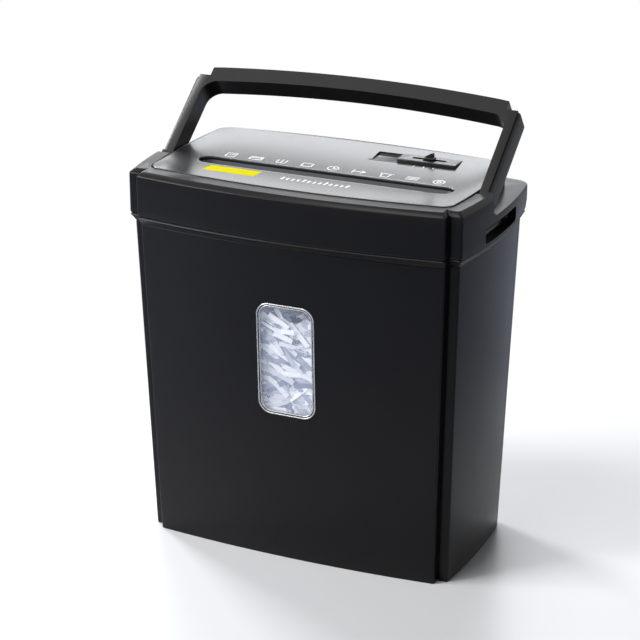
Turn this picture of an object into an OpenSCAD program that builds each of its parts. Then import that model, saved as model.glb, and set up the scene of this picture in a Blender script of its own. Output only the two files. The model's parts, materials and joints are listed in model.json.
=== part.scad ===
// Cross-cut paper shredder: a motor head that lifts off a tapered waste bin.
// Origin: middle of the base on the surface it stands on. X across, Y to the back, Z up.

/* [Head] */
// Depth over the bowed front and back
head_d = 196; // [192:1:215]
// Height from the bin rim to the top rim
head_h = 48; // [46:1:60]
// Outward bow of the front, at the middle
front_bow = 12; // [6:0.5:15]
// Outward bow of each side wall, at the middle
side_bow = 6; // [4:0.5:8]
// Outward bow of the back, at the middle
back_bow = 10; // [6:0.5:14]
// Width of the recessed column at each front corner
column_w = 11.8; // [9:0.1:14]
// How far the column stands behind the front panel's ends
column_step = 7.5; // [5:0.5:9]
// Thickness of the casing mouldings
wall = 2.4; // [2:0.1:3]
// Chamfer along the top rim
rim_chamfer = 4.3; // [2:0.1:5.5]
// Height of the tapered skirt under the head
skirt_h = 7.5; // [6.5:0.5:9]
// Gap of the shut line round the top panel
shut_gap = 0.6; // [0.4:0.1:1]
// How far the tub under the head hangs below the bin rim
tub_depth = 41.5; // [41:0.5:46]

/* [Bin] */
// Height of the bin
bin_h = 289.5; // [270:0.5:320]
// How far the bin rim lies inside the head at the sides
bin_inset = 3.2; // [2.5:0.1:5]
// How far the bin rim lies inside the head at the back
bin_inset_back = 7; // [5:0.5:9]
// Draft of each side over the full height
draft_side = 8; // [5:0.5:12]
// Draft of the front over the full height
draft_front = 8; // [5:0.5:12]
// Draft of the back over the full height
draft_back = 12; // [8:0.5:16]
// Thickness of the bin wall
bin_wall = 2.2; // [1.8:0.1:2.8]
// Thickness of the bin floor
floor_t = 2.6; // [2:0.1:4]
// Height of the heap of shredded paper above the bin floor
heap_h = 205; // [100:1:210]

/* [Window] */
// Width of the window over its rim
window_w = 54; // [40:1:70]
// Height of the window over its rim
window_h = 102; // [70:1:130]
// Height of the window's middle above the base
window_z = 188.5; // [140:0.5:200]
// Corner radius of the window
window_r = 12; // [6:0.5:16]
// Face width of the window rim
window_rim = 3.4; // [2.5:0.1:5]
// How far the rim stands proud of the bin
rim_proud = 0.9; // [0.5:0.1:1.5]

/* [Top panel] */
// Depth of the shallow dish in the panel
dish = 5.2; // [2:0.1:6]
// Rise of the panel's back edge over its front edge
back_rise = 1.6; // [0:0.1:2]
// Thickness of the panel
panel_t = 2.6; // [2:0.1:3]
// Width of the rim in front of the panel
rim_front = 18.6; // [15:0.1:22]

/* [Throat] */
// Length of the feed neck, which takes a sheet 216 wide and sets the width of the head
throat_w = 222; // [220:0.5:236]
// Room from the neck's ends to the side walls, for the frames and gears
throat_side = 42; // [41:0.5:46]
// How much longer the visible slot is than the neck
slot_flare = 15; // [12:0.5:17]
// Width of the visible slot
slot_open = 18; // [14:0.5:19]
// Clear width of the feed neck
neck_open = 6; // [5.6:0.1:7]
// Y position of the throat's middle
throat_y = -12.3; // [-16:0.1:-10]

/* [Handle] */
// Thickness of the handle, seen from its end
handle_t = 18.5; // [18:0.1:20]
// Width of each arm
arm_w = 10.5; // [9:0.1:12]
// Width of the grip
grip_w = 14.4; // [12:0.1:16]
// Outward bow of the grip, at its middle
grip_bow = 6.8; // [3:0.1:8]
// Distance from the pivot to the grip's outer edge
handle_reach = 97; // [94:0.5:98]
// Y position of the pivot
pivot_y = -12; // [-16:0.5:-8]
// Radius of the pivot pins
pin_r = 3; // [2.5:0.1:3.2]
// How far the handle stands up from its stowed place
handle_angle = 38.3; // [0:0.1:60]
// Height of the hand recess in each side of the head
recess_h = 14; // [12:0.5:15]
// Length of the hand recess
recess_w = 72; // [60:1:80]
// Depth of the hand recess
recess_d = 10; // [8:0.5:11]
// Y position of the hand recess's middle
recess_y = -0.6; // [-6:0.1:6]

/* [Cutters] */
// Radius of the cutting discs
disc_r = 19; // [18:0.1:19.5]
// Thickness of a cutting disc
disc_t = 3.9; // [3:0.1:4]
// Spacing of the discs along a shaft
disc_pitch = 8.4; // [8.2:0.05:8.6]
// Length of the neck that the discs leave free
disc_room = 10; // [8:0.5:20]
// Radius of the cutter shafts
shaft_r = 6; // [5:0.1:7]
// Radius of the spacer rings between the discs
spacer_r = 12.5; // [10:0.1:13]
// Height of the cutter shafts above the floor of the head
shaft_h = 25; // [24:0.5:27]
// Thickness of the steel side frames
frame_t = 3; // [2:0.1:4]

/* [Gears] */
// Module of the timing gears
timing_m = 2; // [1.95:0.05:2.05]
// Teeth of each timing gear
timing_n = 17; // [17:1:17]
// Module of the drive gear on the rear shaft
drive_m = 1.25; // [1.2:0.01:1.3]
// Teeth of the drive gear
drive_n = 30; // [28:1:31]
// Teeth of the small wheel of the reduction gear
small_n = 12; // [11:1:13]
// Module of the motor pinion
motor_m = 0.9; // [0.86:0.01:0.95]
// Teeth of the large wheel of the reduction gear
large_n = 44; // [42:1:46]
// Teeth of the motor pinion
pinion_n = 12; // [11:1:13]
// Face width of the reduction gears
face_w = 6; // [5:0.1:6.5]

/* [Motor] */
// Least gap between the motor and the cutting discs
motor_gap = 3.3; // [2.9:0.1:6]
// Length of the motor can
motor_l = 66; // [55:1:72]
// Radius of the motor shaft
motor_shaft_r = 2.5; // [2:0.1:3]
// Height of the motor above the cutter shafts
motor_rise = 26; // [25:0.5:27]

/* [Mode switch] */
// Length of the recessed switch field on the panel
field_w = 78; // [70:1:82]
// Depth of the switch field, front to back
field_d = 18; // [16:0.5:20]
// X position of the field's left end
field_x = 21; // [10:0.5:22]
// Length of the raised bezel in the field
bezel_w = 54.5; // [53:0.5:60]
// Travel of the knob to each side
knob_travel = 9; // [6:0.5:10]
// Distance from the field to the panel's back edge
field_gap = 10; // [8:0.5:12]

/* [Hidden] */

fit = 0.05;        // radial clearance of a shaft in its bush
seat = 0.3;        // clearance between pieces that only lie beside each other
reach = 400;       // longer than the head, for blocks that cut through it
cut = 40;          // longer than any wall or boss is thick, for cuts through one
black = "#1c1b1c";
panel_black = "#2a2b2d";
steel = "#b9bcc0";
dark_steel = "#6d7074";
nylon = "#e3dfd2";
white = "#e8e8e4";
navy = "#2f3a52";

// ---- levels ----
head_top = bin_h + head_h;
seam_z = bin_h + skirt_h;
ledge_gap = 0.5;
pivot_z = head_top - handle_t / 2;
ledge_z = head_top - handle_t - ledge_gap;
panel_edge_t = panel_t + 2;
panel_seat_z = head_top - panel_edge_t;
tub_z = bin_h - tub_depth;
tub_floor = tub_z + wall;
shaft_z = tub_floor + shaft_h;

// ---- outlines ----
head_w = throat_w + 2 * throat_side;
slot_w = throat_w + slot_flare;
front_y = -head_d / 2 + front_bow;
back_y = head_d / 2 - back_bow;
col_y = front_y + column_step;
side_x = head_w / 2;
groove_w = 1.5;
groove_d = 1.2;
col_r = 2.5;
back_r = 16;
back_slope = 9;    // height of the slope under the back of the head
back_drop = 3.5;   // how far that slope leads in

// An outline is [front end x, front end y, front bow, column y, side x, side bow, back y, back bow].
head_o = [side_x - column_w, front_y, front_bow, col_y, side_x, side_bow, back_y, back_bow];
bin_top_o = [side_x - column_w - 1.2, front_y + bin_inset + 1, front_bow - 2, col_y + bin_inset + 0.6,
    side_x - bin_inset, side_bow - 1, back_y - bin_inset_back, back_bow - 3];
bin_base_o = [bin_top_o[0] - draft_side, bin_top_o[1] + draft_front, bin_top_o[2] - 3,
    bin_top_o[3] + draft_front + 1, bin_top_o[4] - draft_side, bin_top_o[5] - 2,
    bin_top_o[6] - draft_back, bin_top_o[7] - 1];

// The head's outline at its lower edge, where its back slopes in.
seam_o = [for (i = [0:7]) i == 6 ? back_y - back_drop : head_o[i]];

function mix_o(a, b, t) = [for (i = [0:7]) a[i] + (b[i] - a[i]) * t];
function inset_o(o, d) = [o[0] - d, o[1] + d, o[2], o[3] + d, o[4] - d, o[5], o[6] - d, o[7]];
function bin_o(z) = mix_o(bin_base_o, bin_top_o, z / bin_h);

function right_half(o, grooved) = concat(
    [for (i = [0:8]) let (u = i / 8) [u * o[0], o[1] - o[2] * (1 - u * u)]],
    grooved ? [[o[0], o[3] + groove_d], [o[0] + groove_w, o[3] + groove_d]]
        : [[o[0], o[3]], [o[0] + 2.6 * groove_w, o[3] + 0.05]],
    [[o[0] + (grooved ? 1 : 3.3) * groove_w, o[3]]],
    [for (a = [-90:30:0]) [o[4] - col_r + col_r * cos(a), o[3] + col_r + col_r * sin(a)]],
    [for (i = [1:8]) let (u = i / 8, y0 = o[3] + col_r, y1 = o[6] - back_r)
        [o[4] + o[5] * (1 - pow(2 * u - 1, 2)), y0 + u * (y1 - y0)]],
    [for (a = [15:15:90]) [o[4] - back_r + back_r * cos(a), o[6] - back_r + back_r * sin(a)]],
    [for (i = [1:6]) let (u = 1 - i / 6) [u * (o[4] - back_r), o[6] + o[7] * (1 - u * u)]]);

// Full outline, counter-clockwise from the middle of the front.
function outline(o, grooved = true) = let (h = right_half(o, grooved), n = len(h))
    concat(h, [for (i = [n - 2:-1:1]) [-h[i].x, h[i].y]]);

function at_z(pts, z) = [for (p = pts) [p.x, p.y, z]];

// Convex faces that together close an outline: bands from side to side, and the columns' front edges.
function outline_cap(n) = concat([[0, 1, n - 1]],
    [for (k = [1:n / 2 - 2]) if (k < 9 || k > 14) [k, k + 1, n - k - 1, n - k]],
    [[n / 2 - 1, n / 2, n / 2 + 1], [10, 11, 12, 13, 14], [n - 14, n - 13, n - 12, n - 11, n - 10],
        [n - 15, n - 14, n - 10, n - 9, 9, 10, 14, 15]]);
function plain_cap(n) = [[for (i = [0:n - 1]) i]];

// Solid through a list of closed rings that all have as many points.
module loft(rings, notched = false) {
    n = len(rings[0]);
    last = len(rings) - 1;
    cap = notched ? outline_cap(n) : plain_cap(n);
    polyhedron(
        points = [for (r = rings) each r],
        faces = concat(cap,
            [for (k = [0:last - 1], i = [0:n - 1])
                let (j = (i + 1) % n, a = k * n, b = (k + 1) * n) [a + i, b + i, b + j, a + j]],
            [for (f = cap) [for (i = [len(f) - 1:-1:0]) last * n + f[i]]]),
        convexity = 8);
}

module rounded_rect(w, h, r) {
    square([w - 2 * r, h], center = true);
    square([w, h - 2 * r], center = true);
    for (x = [-1, 1], y = [-1, 1]) translate([x * (w / 2 - r), y * (h / 2 - r)]) circle(r, $fn = 48);
}

// Puts a shape drawn in the XZ plane through the bin's front wall.
module front_prism() {
    translate([0, 0, window_z]) rotate([90, 0, 0]) linear_extrude(head_d / 2) children();
}

// Ring round the bin at a height, inset from its outer face.
function bin_ring(d, z) = at_z(outline(inset_o(bin_o(z), d), d == 0), z);

module bin_loft(d, z0, z1) {
    loft([bin_ring(d, z0), bin_ring(d, z1)], notched = true);
}

// ---- bin ----
rib_x = 100;
plunger_y = bin_o(bin_h)[6] - bin_wall - 1.2;
plunger_tip = 2.2;
plunger_stroke = 3.5;
plunger_r = 2;

module bin_shell() {
    color(black) {
        difference() {
            loft([bin_ring(0, 0), bin_ring(0, bin_h),
                bin_ring(bin_wall, bin_h), bin_ring(bin_wall, floor_t)], notched = true);
            front_prism() rounded_rect(window_w + 2 * fit, window_h + 2 * fit, window_r);
        }
        // tab inside the back wall that works the interlock
        intersection() {
            translate([rib_x - 4, plunger_y - 2.2, bin_h - plunger_tip - seat - 9]) cube([8, 20, 9]);
            bin_loft(bin_wall - 0.1, floor_t, bin_h);
        }
    }
}

module window_rim() {
    color("#c4c6c8") difference() {
        intersection() {
            bin_loft(-rim_proud, 0, bin_h);
            front_prism() difference() {
                rounded_rect(window_w, window_h, window_r);
                rounded_rect(window_w - 2 * window_rim, window_h - 2 * window_rim, window_r - window_rim);
            }
        }
        bin_loft(bin_wall + 0.6, -1, bin_h + 1);
    }
}

module window_lens() {
    inner = window_rim + fit;
    color("#dfe6ea80") difference() {
        intersection() {
            bin_loft(0.2, 0, bin_h);
            front_prism()
                rounded_rect(window_w - 2 * inner, window_h - 2 * inner, window_r - inner);
        }
        bin_loft(bin_wall, -1, bin_h + 1);
    }
}

// Heap of shreds: fills the bin up to a crowned top.
module shredded_paper() {
    gap = bin_wall + 1.2;
    top = floor_t + heap_h;
    crown = 9;
    rings = [for (z = [floor_t, top]) at_z(outline(inset_o(bin_o(z), gap), false), z)];
    base = rings[1];
    caps = [for (s = [0.8, 0.5, 0.2]) [for (p = base) [p.x * s, p.y * s, top + crown * (1 - s * s)]]];
    color("#e4e7ee") loft(concat(rings, caps), notched = true);
}

// ---- top panel outline, also the shape of the raised crown below it ----
panel_x = side_x - 14;
panel_bow = 3.4;
arm_in = panel_x + panel_bow + 0.8;
arm_out = arm_in + arm_w;
grip_end_y = pivot_y + handle_reach;
panel_front = front_y + rim_front - 2.2;
panel_front_bow = front_bow - 2.4;
panel_back = grip_end_y - grip_w - 1;
panel_back_bow = grip_bow - 0.4;
panel_fr = 12;
panel_br = 15;
slot_y = throat_y;

function panel_half(d) = let (px = panel_x - d, py = panel_front + d, pb = panel_back - d,
        fr = panel_fr - d, br = panel_br - d) concat(
    [for (i = [0:8]) let (u = i / 8) [u * (px - fr), py - panel_front_bow * (1 - u * u)]],
    [for (a = [-75:15:0]) [px - fr + fr * cos(a), py + fr + fr * sin(a)]],
    [for (i = [1:8]) let (u = i / 8, y0 = py + fr, y1 = pb - br)
        [px + panel_bow * (1 - pow(2 * u - 1, 2)), y0 + u * (y1 - y0)]],
    [for (a = [15:15:90]) [px - br + br * cos(a), pb - br + br * sin(a)]],
    [for (i = [1:7]) let (u = 1 - i / 7) [u * (px - br), pb + panel_back_bow * (1 - u * u)]]);

function panel_outline(d = 0) = let (h = panel_half(d), n = len(h))
    concat(h, [for (i = [n - 2:-1:1]) [-h[i].x, h[i].y]]);

// Height of the panel: level along the front, raised at the back, dished between the edges.
function edge_x(y) = let (v = (y - panel_front) / (panel_back - panel_front))
    panel_x + panel_bow * (1 - pow(2 * v - 1, 2));
function edge_y(x, dir) = let (half = panel_x - (dir < 0 ? panel_fr : panel_br), u = min(1, abs(x) / half))
    dir < 0 ? panel_front - panel_front_bow * (1 - u * u) : panel_back + panel_back_bow * (1 - u * u);
function dish_z(x, y) = let (dir = y < slot_y ? -1 : 1,
        u = min(1, abs(x) / edge_x(y)), v = min(1, (y - slot_y) / (edge_y(x, dir) - slot_y)))
    head_top - dish * (1 - pow(u, 12)) * (1 - v * v) + (dir > 0 ? back_rise * v * v : 0);
function dish_ring(s, drop) = [for (p = panel_outline())
    let (y = slot_y + (p.y - slot_y) * s) [p.x * s, y, dish_z(p.x * s, y) - drop]];
function rim_ring() = [for (p = panel_outline())
    [p.x, p.y, head_top + back_rise * pow(max(0, (p.y - slot_y) / (panel_back - slot_y)), 2)]];

module slot_shape(w, t) {
    for (x = [-1, 1]) translate([x * (w - t) / 2, 0]) circle(t / 2, $fn = 48);
    square([w - t, t], center = true);
}

field_y = panel_back - field_gap - field_d / 2;
field_floor = head_top - 4.2;
field_box_z = field_floor - 2;
bezel_x = field_x + field_w - bezel_w / 2;
bezel_top = head_top + 0.4;
knob_slot = 2 * knob_travel + 13;

module top_panel() {
    steps = [0.96, 0.88, 0.78, 0.66, 0.52, 0.36, 0.18];
    edge = at_z(panel_outline(), panel_seat_z);
    upper = [for (s = steps) dish_ring(s, 0)];
    rest = [for (p = dish_ring(0.95, 0)) [p.x, p.y, panel_seat_z]];
    lower = concat([for (i = [len(steps) - 1:-1:1]) dish_ring(steps[i], panel_t)], [rest]);
    color(panel_black) difference() {
        union() {
            plate(concat([edge, rim_ring()], upper), lower);
            translate([field_x - 2, field_y - field_d / 2 - 2, field_box_z])
                cube([field_w + 4, field_d + 4, head_top - 2.4 - field_box_z]);
        }
        translate([0, slot_y, head_top - 20]) linear_extrude(30) slot_shape(slot_w, slot_open);
        translate([field_x, field_y - field_d / 2, field_floor]) cube([field_w, field_d, 20]);
        translate([bezel_x, field_y, field_box_z - 1]) cube([knob_slot + 3, 8, 20], center = true);
    }
}

// Plate between two skins of rings: upper runs from the rim inwards, lower from the middle outwards.
module plate(upper, lower) {
    rings = concat(upper, lower);
    n = len(rings[0]);
    m = len(rings);
    mid = len(upper) - 1;
    polyhedron(
        points = [for (r = rings) each r],
        faces = concat(
            [for (k = [0:m - 1], i = [0:n - 1]) if (k != mid)
                let (j = (i + 1) % n, a = k * n, b = ((k + 1) % m) * n) [a + i, b + i, b + j, a + j]],
            [[for (i = [n - 1:-1:0]) mid * n + i]],
            [[for (i = [0:n - 1]) (mid + 1) * n + i]]),
        convexity = 8);
}

// ---- casings ----
pocket_y = pivot_y - handle_t / 2 - 0.6;

// The head's outer form inset by d. It runs on past the seam and the top, which flat blocks cut.
module head_form(d) {
    past = 3;
    low = [for (i = [0:7]) i == 6 ? back_y - back_drop * (1 + past / back_slope) : head_o[i]];
    top = d > 0 ? 0 : rim_chamfer + past;
    o = [inset_o(low, d), inset_o(head_o, d), inset_o(head_o, d), inset_o(head_o, d + top)];
    zs = [seam_z - past, seam_z + back_slope, head_top - rim_chamfer, head_top + past];
    loft([for (i = [0:3]) at_z(outline(o[i], d == 0), zs[i])], notched = true);
}

// Everything between two heights and in front of a depth.
module block(bottom, top, back = reach / 2) {
    translate([-reach / 2, -reach / 2, bottom]) cube([reach, reach / 2 + back, top - bottom]);
}

// Upright prism on the panel's outline inset by d.
module panel_prism(d, bottom, top = head_top + 1) {
    translate([0, 0, bottom]) linear_extrude(top - bottom) polygon(panel_outline(d));
}

// The tub under the head, and the screws outside its corners
tub_x = bin_o(tub_z)[4] - bin_wall - 4;
tub_front = bin_o(tub_z)[3] + bin_wall + 1.6;
tub_back = bin_o(tub_z)[6] - bin_wall - 15;
tub_r = 12;
screw_r = 1.5;
screw_head_r = 2.6;
post_r = 3.6;
screw_reach = tub_r + screw_head_r + 0.5;
screw_spots = [for (x = [-1, 1], y = [-1, 1])
    [x * (tub_x - tub_r + screw_reach * cos(42)),
        y > 0 ? tub_back - tub_r + screw_reach * sin(42) : tub_front + tub_r - screw_reach * sin(42)]];

module recess_box(grow, out) {
    w = recess_w + 2 * grow;
    h = recess_h + 2 * grow;
    x0 = side_x + side_bow - 1.2 - recess_d - grow;
    translate([x0, recess_y - w / 2, seam_z + 1.6 - grow]) cube([out, w, h]);
}

gland_x = 60;
gland_z = (seam_z + back_slope + ledge_z) / 2;
gland_w = 9.2;     // the gland's square body
gland_rim = 1.4;
gland_bore = 3.2;

crown_inset = 0.3;
boss_in = panel_x - 4;
boss_r = pin_r + 1.5;

module upper_casing() {
    color(black) difference() {
        union() {
            difference() {
                intersection() {
                    head_form(0);
                    union() {
                        block(seam_z, ledge_z);
                        block(seam_z, head_top, pocket_y);
                        panel_prism(crown_inset, ledge_z - 1, head_top);
                    }
                }
                // hollow below the ledge, below the front rim, and inside the crown
                intersection() {
                    head_form(wall);
                    union() {
                        block(seam_z - 1, ledge_z - wall);
                        block(seam_z - 1, panel_seat_z - wall, pocket_y - wall);
                    }
                }
                panel_prism(crown_inset + wall, seam_z - 1);
                panel_prism(-shut_gap, panel_seat_z);
            }
            intersection() {
                head_form(0);
                for (k = [0, 1]) mirror([k, 0, 0]) recess_box(1.6, 30);
            }
            // bosses for the handle pins
            for (s = [0, 1]) mirror([s, 0, 0]) translate([boss_in, pivot_y, pivot_z]) rotate([0, 90, 0])
                cylinder(r = boss_r, h = arm_in - 0.6 - boss_in, $fn = 48);
            // screw posts
            for (p = screw_spots) translate([p.x, p.y, seam_z])
                cylinder(r = post_r, h = (p.y > 0 ? ledge_z : panel_seat_z) - wall + 0.5 - seam_z, $fn = 32);
        }
        for (k = [0, 1]) mirror([k, 0, 0]) recess_box(0, cut);
        for (s = [-1, 1]) translate([s * panel_x, pivot_y, pivot_z]) rotate([0, 90, 0])
            cylinder(r = pin_r + fit, h = cut, center = true, $fn = 48);
        for (s = [-1, 1]) translate([s * (arm_in + 20), pivot_y, pivot_z])
            cube([40.8, handle_t + 1, handle_t + 1], center = true);
        for (p = screw_spots) translate([p.x, p.y, seam_z - 1]) cylinder(r = screw_r + fit, h = 14, $fn = 32);
        translate([gland_x, head_d / 2, gland_z])
            cube([gland_w + 2 * fit, 26, gland_w + 2 * fit], center = true);
    }
}

chute_w = throat_w + 4;
chute_d = 54;

module tub_prism(d, z0, z1) {
    w = 2 * (tub_x - d);
    h = tub_back - tub_front - 2 * d;
    translate([0, (tub_back + tub_front) / 2, z0]) linear_extrude(z1 - z0) rounded_rect(w, h, tub_r - d);
}

module lower_casing() {
    color(black) difference() {
        union() {
            loft([at_z(outline(bin_top_o), bin_h), at_z(outline(seam_o), seam_z),
                at_z(outline(inset_o(seam_o, wall), false), seam_z),
                at_z(outline(inset_o(bin_top_o, wall), false), bin_h + wall)], notched = true);
            tub_prism(0, tub_z, bin_h + 1);
            translate([rib_x, plunger_y, bin_h]) cylinder(r = 4.2, h = skirt_h, $fn = 32);
            for (p = screw_spots) translate([p.x, p.y, bin_h + 0.1])
                cylinder(r = post_r, h = skirt_h - 0.1, $fn = 32);
        }
        tub_prism(wall, tub_floor, seam_z + 1);
        translate([0, throat_y, tub_z]) cube([chute_w, chute_d, 20], center = true);
        translate([rib_x, plunger_y, bin_h - 1]) cylinder(r = plunger_r + fit, h = 40, $fn = 32);
        for (p = screw_spots) translate([p.x, p.y, bin_h - 1]) {
            cylinder(r = screw_r + fit, h = 20, $fn = 32);
            cylinder(r = screw_head_r + fit, h = 3.6, $fn = 32);
        }
    }
}

module casing_screws() {
    head_z = bin_h + 2.6;
    color(steel) for (p = screw_spots) translate([p.x, p.y, head_z]) {
        cylinder(r = screw_r, h = seam_z + 11 - head_z, $fn = 32);
        difference() {
            translate([0, 0, -2]) cylinder(r = screw_head_r, h = 2, $fn = 32);
            translate([-0.35, -1.7, -3]) cube([0.7, 3.4, 2]);
            translate([-1.7, -0.35, -3]) cube([3.4, 0.7, 2]);
        }
    }
}

module cord_gland() {
    wall_y = back_y + back_bow * (1 - pow((gland_x - 9) / (side_x - back_r), 2));
    color(black) translate([gland_x, wall_y + 0.1, gland_z]) rotate([90, 0, 0]) difference() {
        union() {
            translate([0, 0, -0.5]) cube([gland_w + 2 * gland_rim, gland_w + 2 * gland_rim, 1], center = true);
            translate([0, 0, 4.5]) cube([gland_w, gland_w, 9], center = true);
        }
        translate([0, 0, -2]) cylinder(r = gland_bore, h = 20, $fn = 48);
    }
}

// ---- throat ----
liner_bottom = shaft_z + disc_r + 2.4;
liner_top = head_top - dish - panel_t - 0.05;
function stadium(w, t, z) = concat(
    [for (a = [-90:15:90]) [(w - t) / 2 + t / 2 * cos(a), t / 2 * sin(a), z]],
    [for (a = [90:15:270]) [-(w - t) / 2 + t / 2 * cos(a), t / 2 * sin(a), z]]);

lever_y = throat_y + neck_open / 2 + 8;
lever_z = liner_bottom + 9;
lever_pin_r = 1.3;
lever_switch_y = lever_y + 4.3;
lever_switch_z = lever_z + 2.2;

module throat_liner() {
    t = 1.8;
    neck_z = liner_bottom + 12;
    color("#3c3d3f") translate([0, slot_y, 0]) difference() {
        union() {
            loft([stadium(throat_w + 2 * t, neck_open + 2 * t, liner_bottom),
                stadium(throat_w + 2 * t, neck_open + 2 * t, neck_z),
                stadium(slot_w + 2 * t, slot_open + 2 * t, liner_top)]);
            // ears that carry the paper lever and its switch
            for (s = [-1, 1]) translate([s * 5 - 1, neck_open / 2, lever_z - 3.5])
                cube([2, lever_switch_y - slot_y - neck_open / 2, 10]);
        }
        loft([stadium(throat_w, neck_open, liner_bottom - 1), stadium(throat_w, neck_open, neck_z),
            stadium(slot_w, slot_open, liner_top + 0.01)]);
        translate([0, neck_open / 2 + 2, liner_bottom + 2]) cube([5, 8, 22], center = true);
        translate([0, lever_y - slot_y, lever_z]) rotate([0, 90, 0])
            cylinder(r = lever_pin_r + fit, h = 20, center = true, $fn = 32);
    }
}

// Lever that a sheet pushes down to start the motor.
module paper_lever() {
    color(white) translate([0, lever_y, lever_z]) rotate([90, 0, 90]) {
        cylinder(r = lever_pin_r, h = 12, center = true, $fn = 32);
        linear_extrude(3, center = true) difference() {
            union() {
                circle(2.6, $fn = 32);
                polygon([[-1.8, 1.8], [-12.5, -4.2], [-12.5, -6.4], [-1.5, -2.4]]);
                polygon([[-1, 2], [1.8, 1.6], [3.4, 7.5], [1.6, 8]]);
            }
            circle(lever_pin_r - 0.1, $fn = 32);
        }
    }
}

module lever_switch() {
    color(navy) translate([-6, lever_switch_y, lever_switch_z]) cube([12, 7, 6]);
    color(steel) translate([-2, lever_switch_y + 3, lever_switch_z + 6]) cube([4, 1, 2]);
}

// ---- handle ----
// Outline of the bail lying flat, pivot at the origin, reaching along +Y.
function arch(y, bow, half, n, dir) = [for (i = [0:n]) let (u = dir * (1 - 2 * i / n))
    [u * half, y + bow * (1 - u * u)]];

module bail_outline() {
    notch_x = side_x - 12.6;
    shoulder = 9;
    r_in = 14;
    grip_in = handle_reach - grip_w;
    difference() {
        union() {
            polygon(concat(arch(handle_reach, grip_bow, notch_x, 16, 1),
                [[-notch_x, grip_in - 4], [notch_x, grip_in - 4]]));
            for (s = [-1, 1]) {
                polygon([[s * arm_in, 0], [s * arm_out, 0], [s * arm_out, handle_reach - shoulder - 4],
                    [s * (arm_out - 1.2), handle_reach - shoulder - 1.2],
                    [s * (arm_out - 4), handle_reach - shoulder], [s * notch_x, handle_reach - shoulder],
                    [s * arm_in, handle_reach - shoulder]]);
                polygon([[s * (arm_in + 1), 40], [s * (arm_in + 1), handle_reach - shoulder],
                    [s * (arm_in - 20), handle_reach - shoulder], [s * (arm_in - 20), grip_in - 20]]);
            }
        }
        // window of the bail, with round corners
        polygon(concat([[-arm_in, 0], [arm_in, 0]], [[arm_in, grip_in - r_in]],
            [for (a = [15:15:75]) [arm_in - r_in + r_in * cos(a), grip_in - r_in + r_in * sin(a)]],
            arch(grip_in, grip_bow, arm_in - r_in, 14, 1),
            [for (a = [105:15:165]) [-arm_in + r_in + r_in * cos(a), grip_in - r_in + r_in * sin(a)]],
            [[-arm_in, grip_in - r_in]]));
    }
}

module handle_bail() {
    rebate = 3;
    color("#232223") translate([0, pivot_y, pivot_z]) rotate([handle_angle, 0, 0]) difference() {
        union() {
            translate([0, 0, -handle_t / 2]) linear_extrude(handle_t) bail_outline();
            for (s = [-1, 1]) translate([s * (arm_in + arm_w / 2), 0, 0]) rotate([0, 90, 0])
                cylinder(r = handle_t / 2, h = arm_w, center = true, $fn = 64);
        }
        for (s = [-1, 1]) translate([s * (arm_in + arm_w / 2 - 1.5), 0, 0]) rotate([0, 90, 0])
            cylinder(r = pin_r + fit, h = arm_w - 1, center = true, $fn = 48);
        // rebate along the outer front edge of each arm
        for (s = [-1, 1]) translate([s * (arm_out - rebate / 2 + 1), handle_reach / 2 - 3, handle_t / 2])
            cube([rebate + 2, handle_reach - 12, 5], center = true);
    }
}

module handle_pins() {
    outer = arm_in + arm_w - 2.2;
    color(steel) for (s = [0, 1]) mirror([s, 0, 0])
        translate([boss_in, pivot_y, pivot_z]) rotate([0, 90, 0]) {
            translate([0, 0, -1]) cylinder(r = pin_r, h = outer - boss_in + 1, $fn = 48);
            translate([0, 0, -2]) cylinder(r = pin_r + 1.2, h = 2, $fn = 48);
        }
}

// ---- mode switch ----
module switch_bezel() {
    d = field_d - 0.6;
    h = bezel_top - field_floor;
    color(panel_black) translate([bezel_x - 0.15, field_y, field_floor]) difference() {
        translate([-bezel_w / 2 + 0.3, -d / 2, 0]) cube([bezel_w - 0.45, d, h]);
        translate([0, 0, h]) cube([knob_slot, 4.6, 40], center = true);
        translate([0, 0, -0.1]) translate([-knob_slot / 2 - 3, -6, 0]) cube([knob_slot + 6, 12, 2.3]);
    }
}

module mode_knob() {
    color(black) translate([bezel_x - 0.15, field_y, 0]) {
        translate([-5, -1.9, field_floor + 0.2]) cube([9.6, 3.8, bezel_top - field_floor + 1]);
        translate([-4.5, -3.4, bezel_top + 0.3]) cube([9, 6.8, 1.6]);
        translate([0, 1.6, bezel_top + 1.8]) rotate([90, 0, 0]) linear_extrude(3.2)
            polygon([[-4.3, 0], [2, 4.3], [3.6, 4.3], [4.3, 0]]);
        translate([-1.2, -1.2, field_box_z - 3]) cube([2.4, 2.4, 8]);
    }
}

module switch_body() {
    color("#30343c") translate([bezel_x, field_y, field_box_z - seat]) difference() {
        translate([-(knob_slot + 8) / 2, -6, -9]) cube([knob_slot + 8, 12, 9]);
        translate([-knob_slot / 2, -1.8, -5]) cube([knob_slot, 3.6, 6]);
    }
    color(steel) for (i = [-1, 0, 1])
        translate([bezel_x + i * 8 - 1.5, field_y - 0.4, field_box_z - seat - 13]) cube([3, 0.8, 4]);
}

// ---- cutter block ----
disc_count = floor((throat_w - disc_room) / disc_pitch) + 1;
axis_gap = timing_m * timing_n;
front_axis = throat_y - axis_gap / 2;
rear_axis = throat_y + axis_gap / 2;
block_x = throat_w / 2 + 7;         // inner face of each side frame
frame_out = block_x + frame_t;
disc_span = (disc_count - 1) * disc_pitch;
frame_front = front_axis - 27;
frame_back = rear_axis + 26;
frame_step = shaft_z + 22;
frame_top = shaft_z + 34;
rod_in = 6.5;                       // from the edges of the side frames to the tie rods
rod_spots = [[frame_front + rod_in, frame_step - 5], [frame_front + rod_in, tub_floor + rod_in],
    [frame_back - rod_in, tub_floor + rod_in], [rear_axis + 1.5, frame_top - rod_in]];
rod_r = 3;
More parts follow.
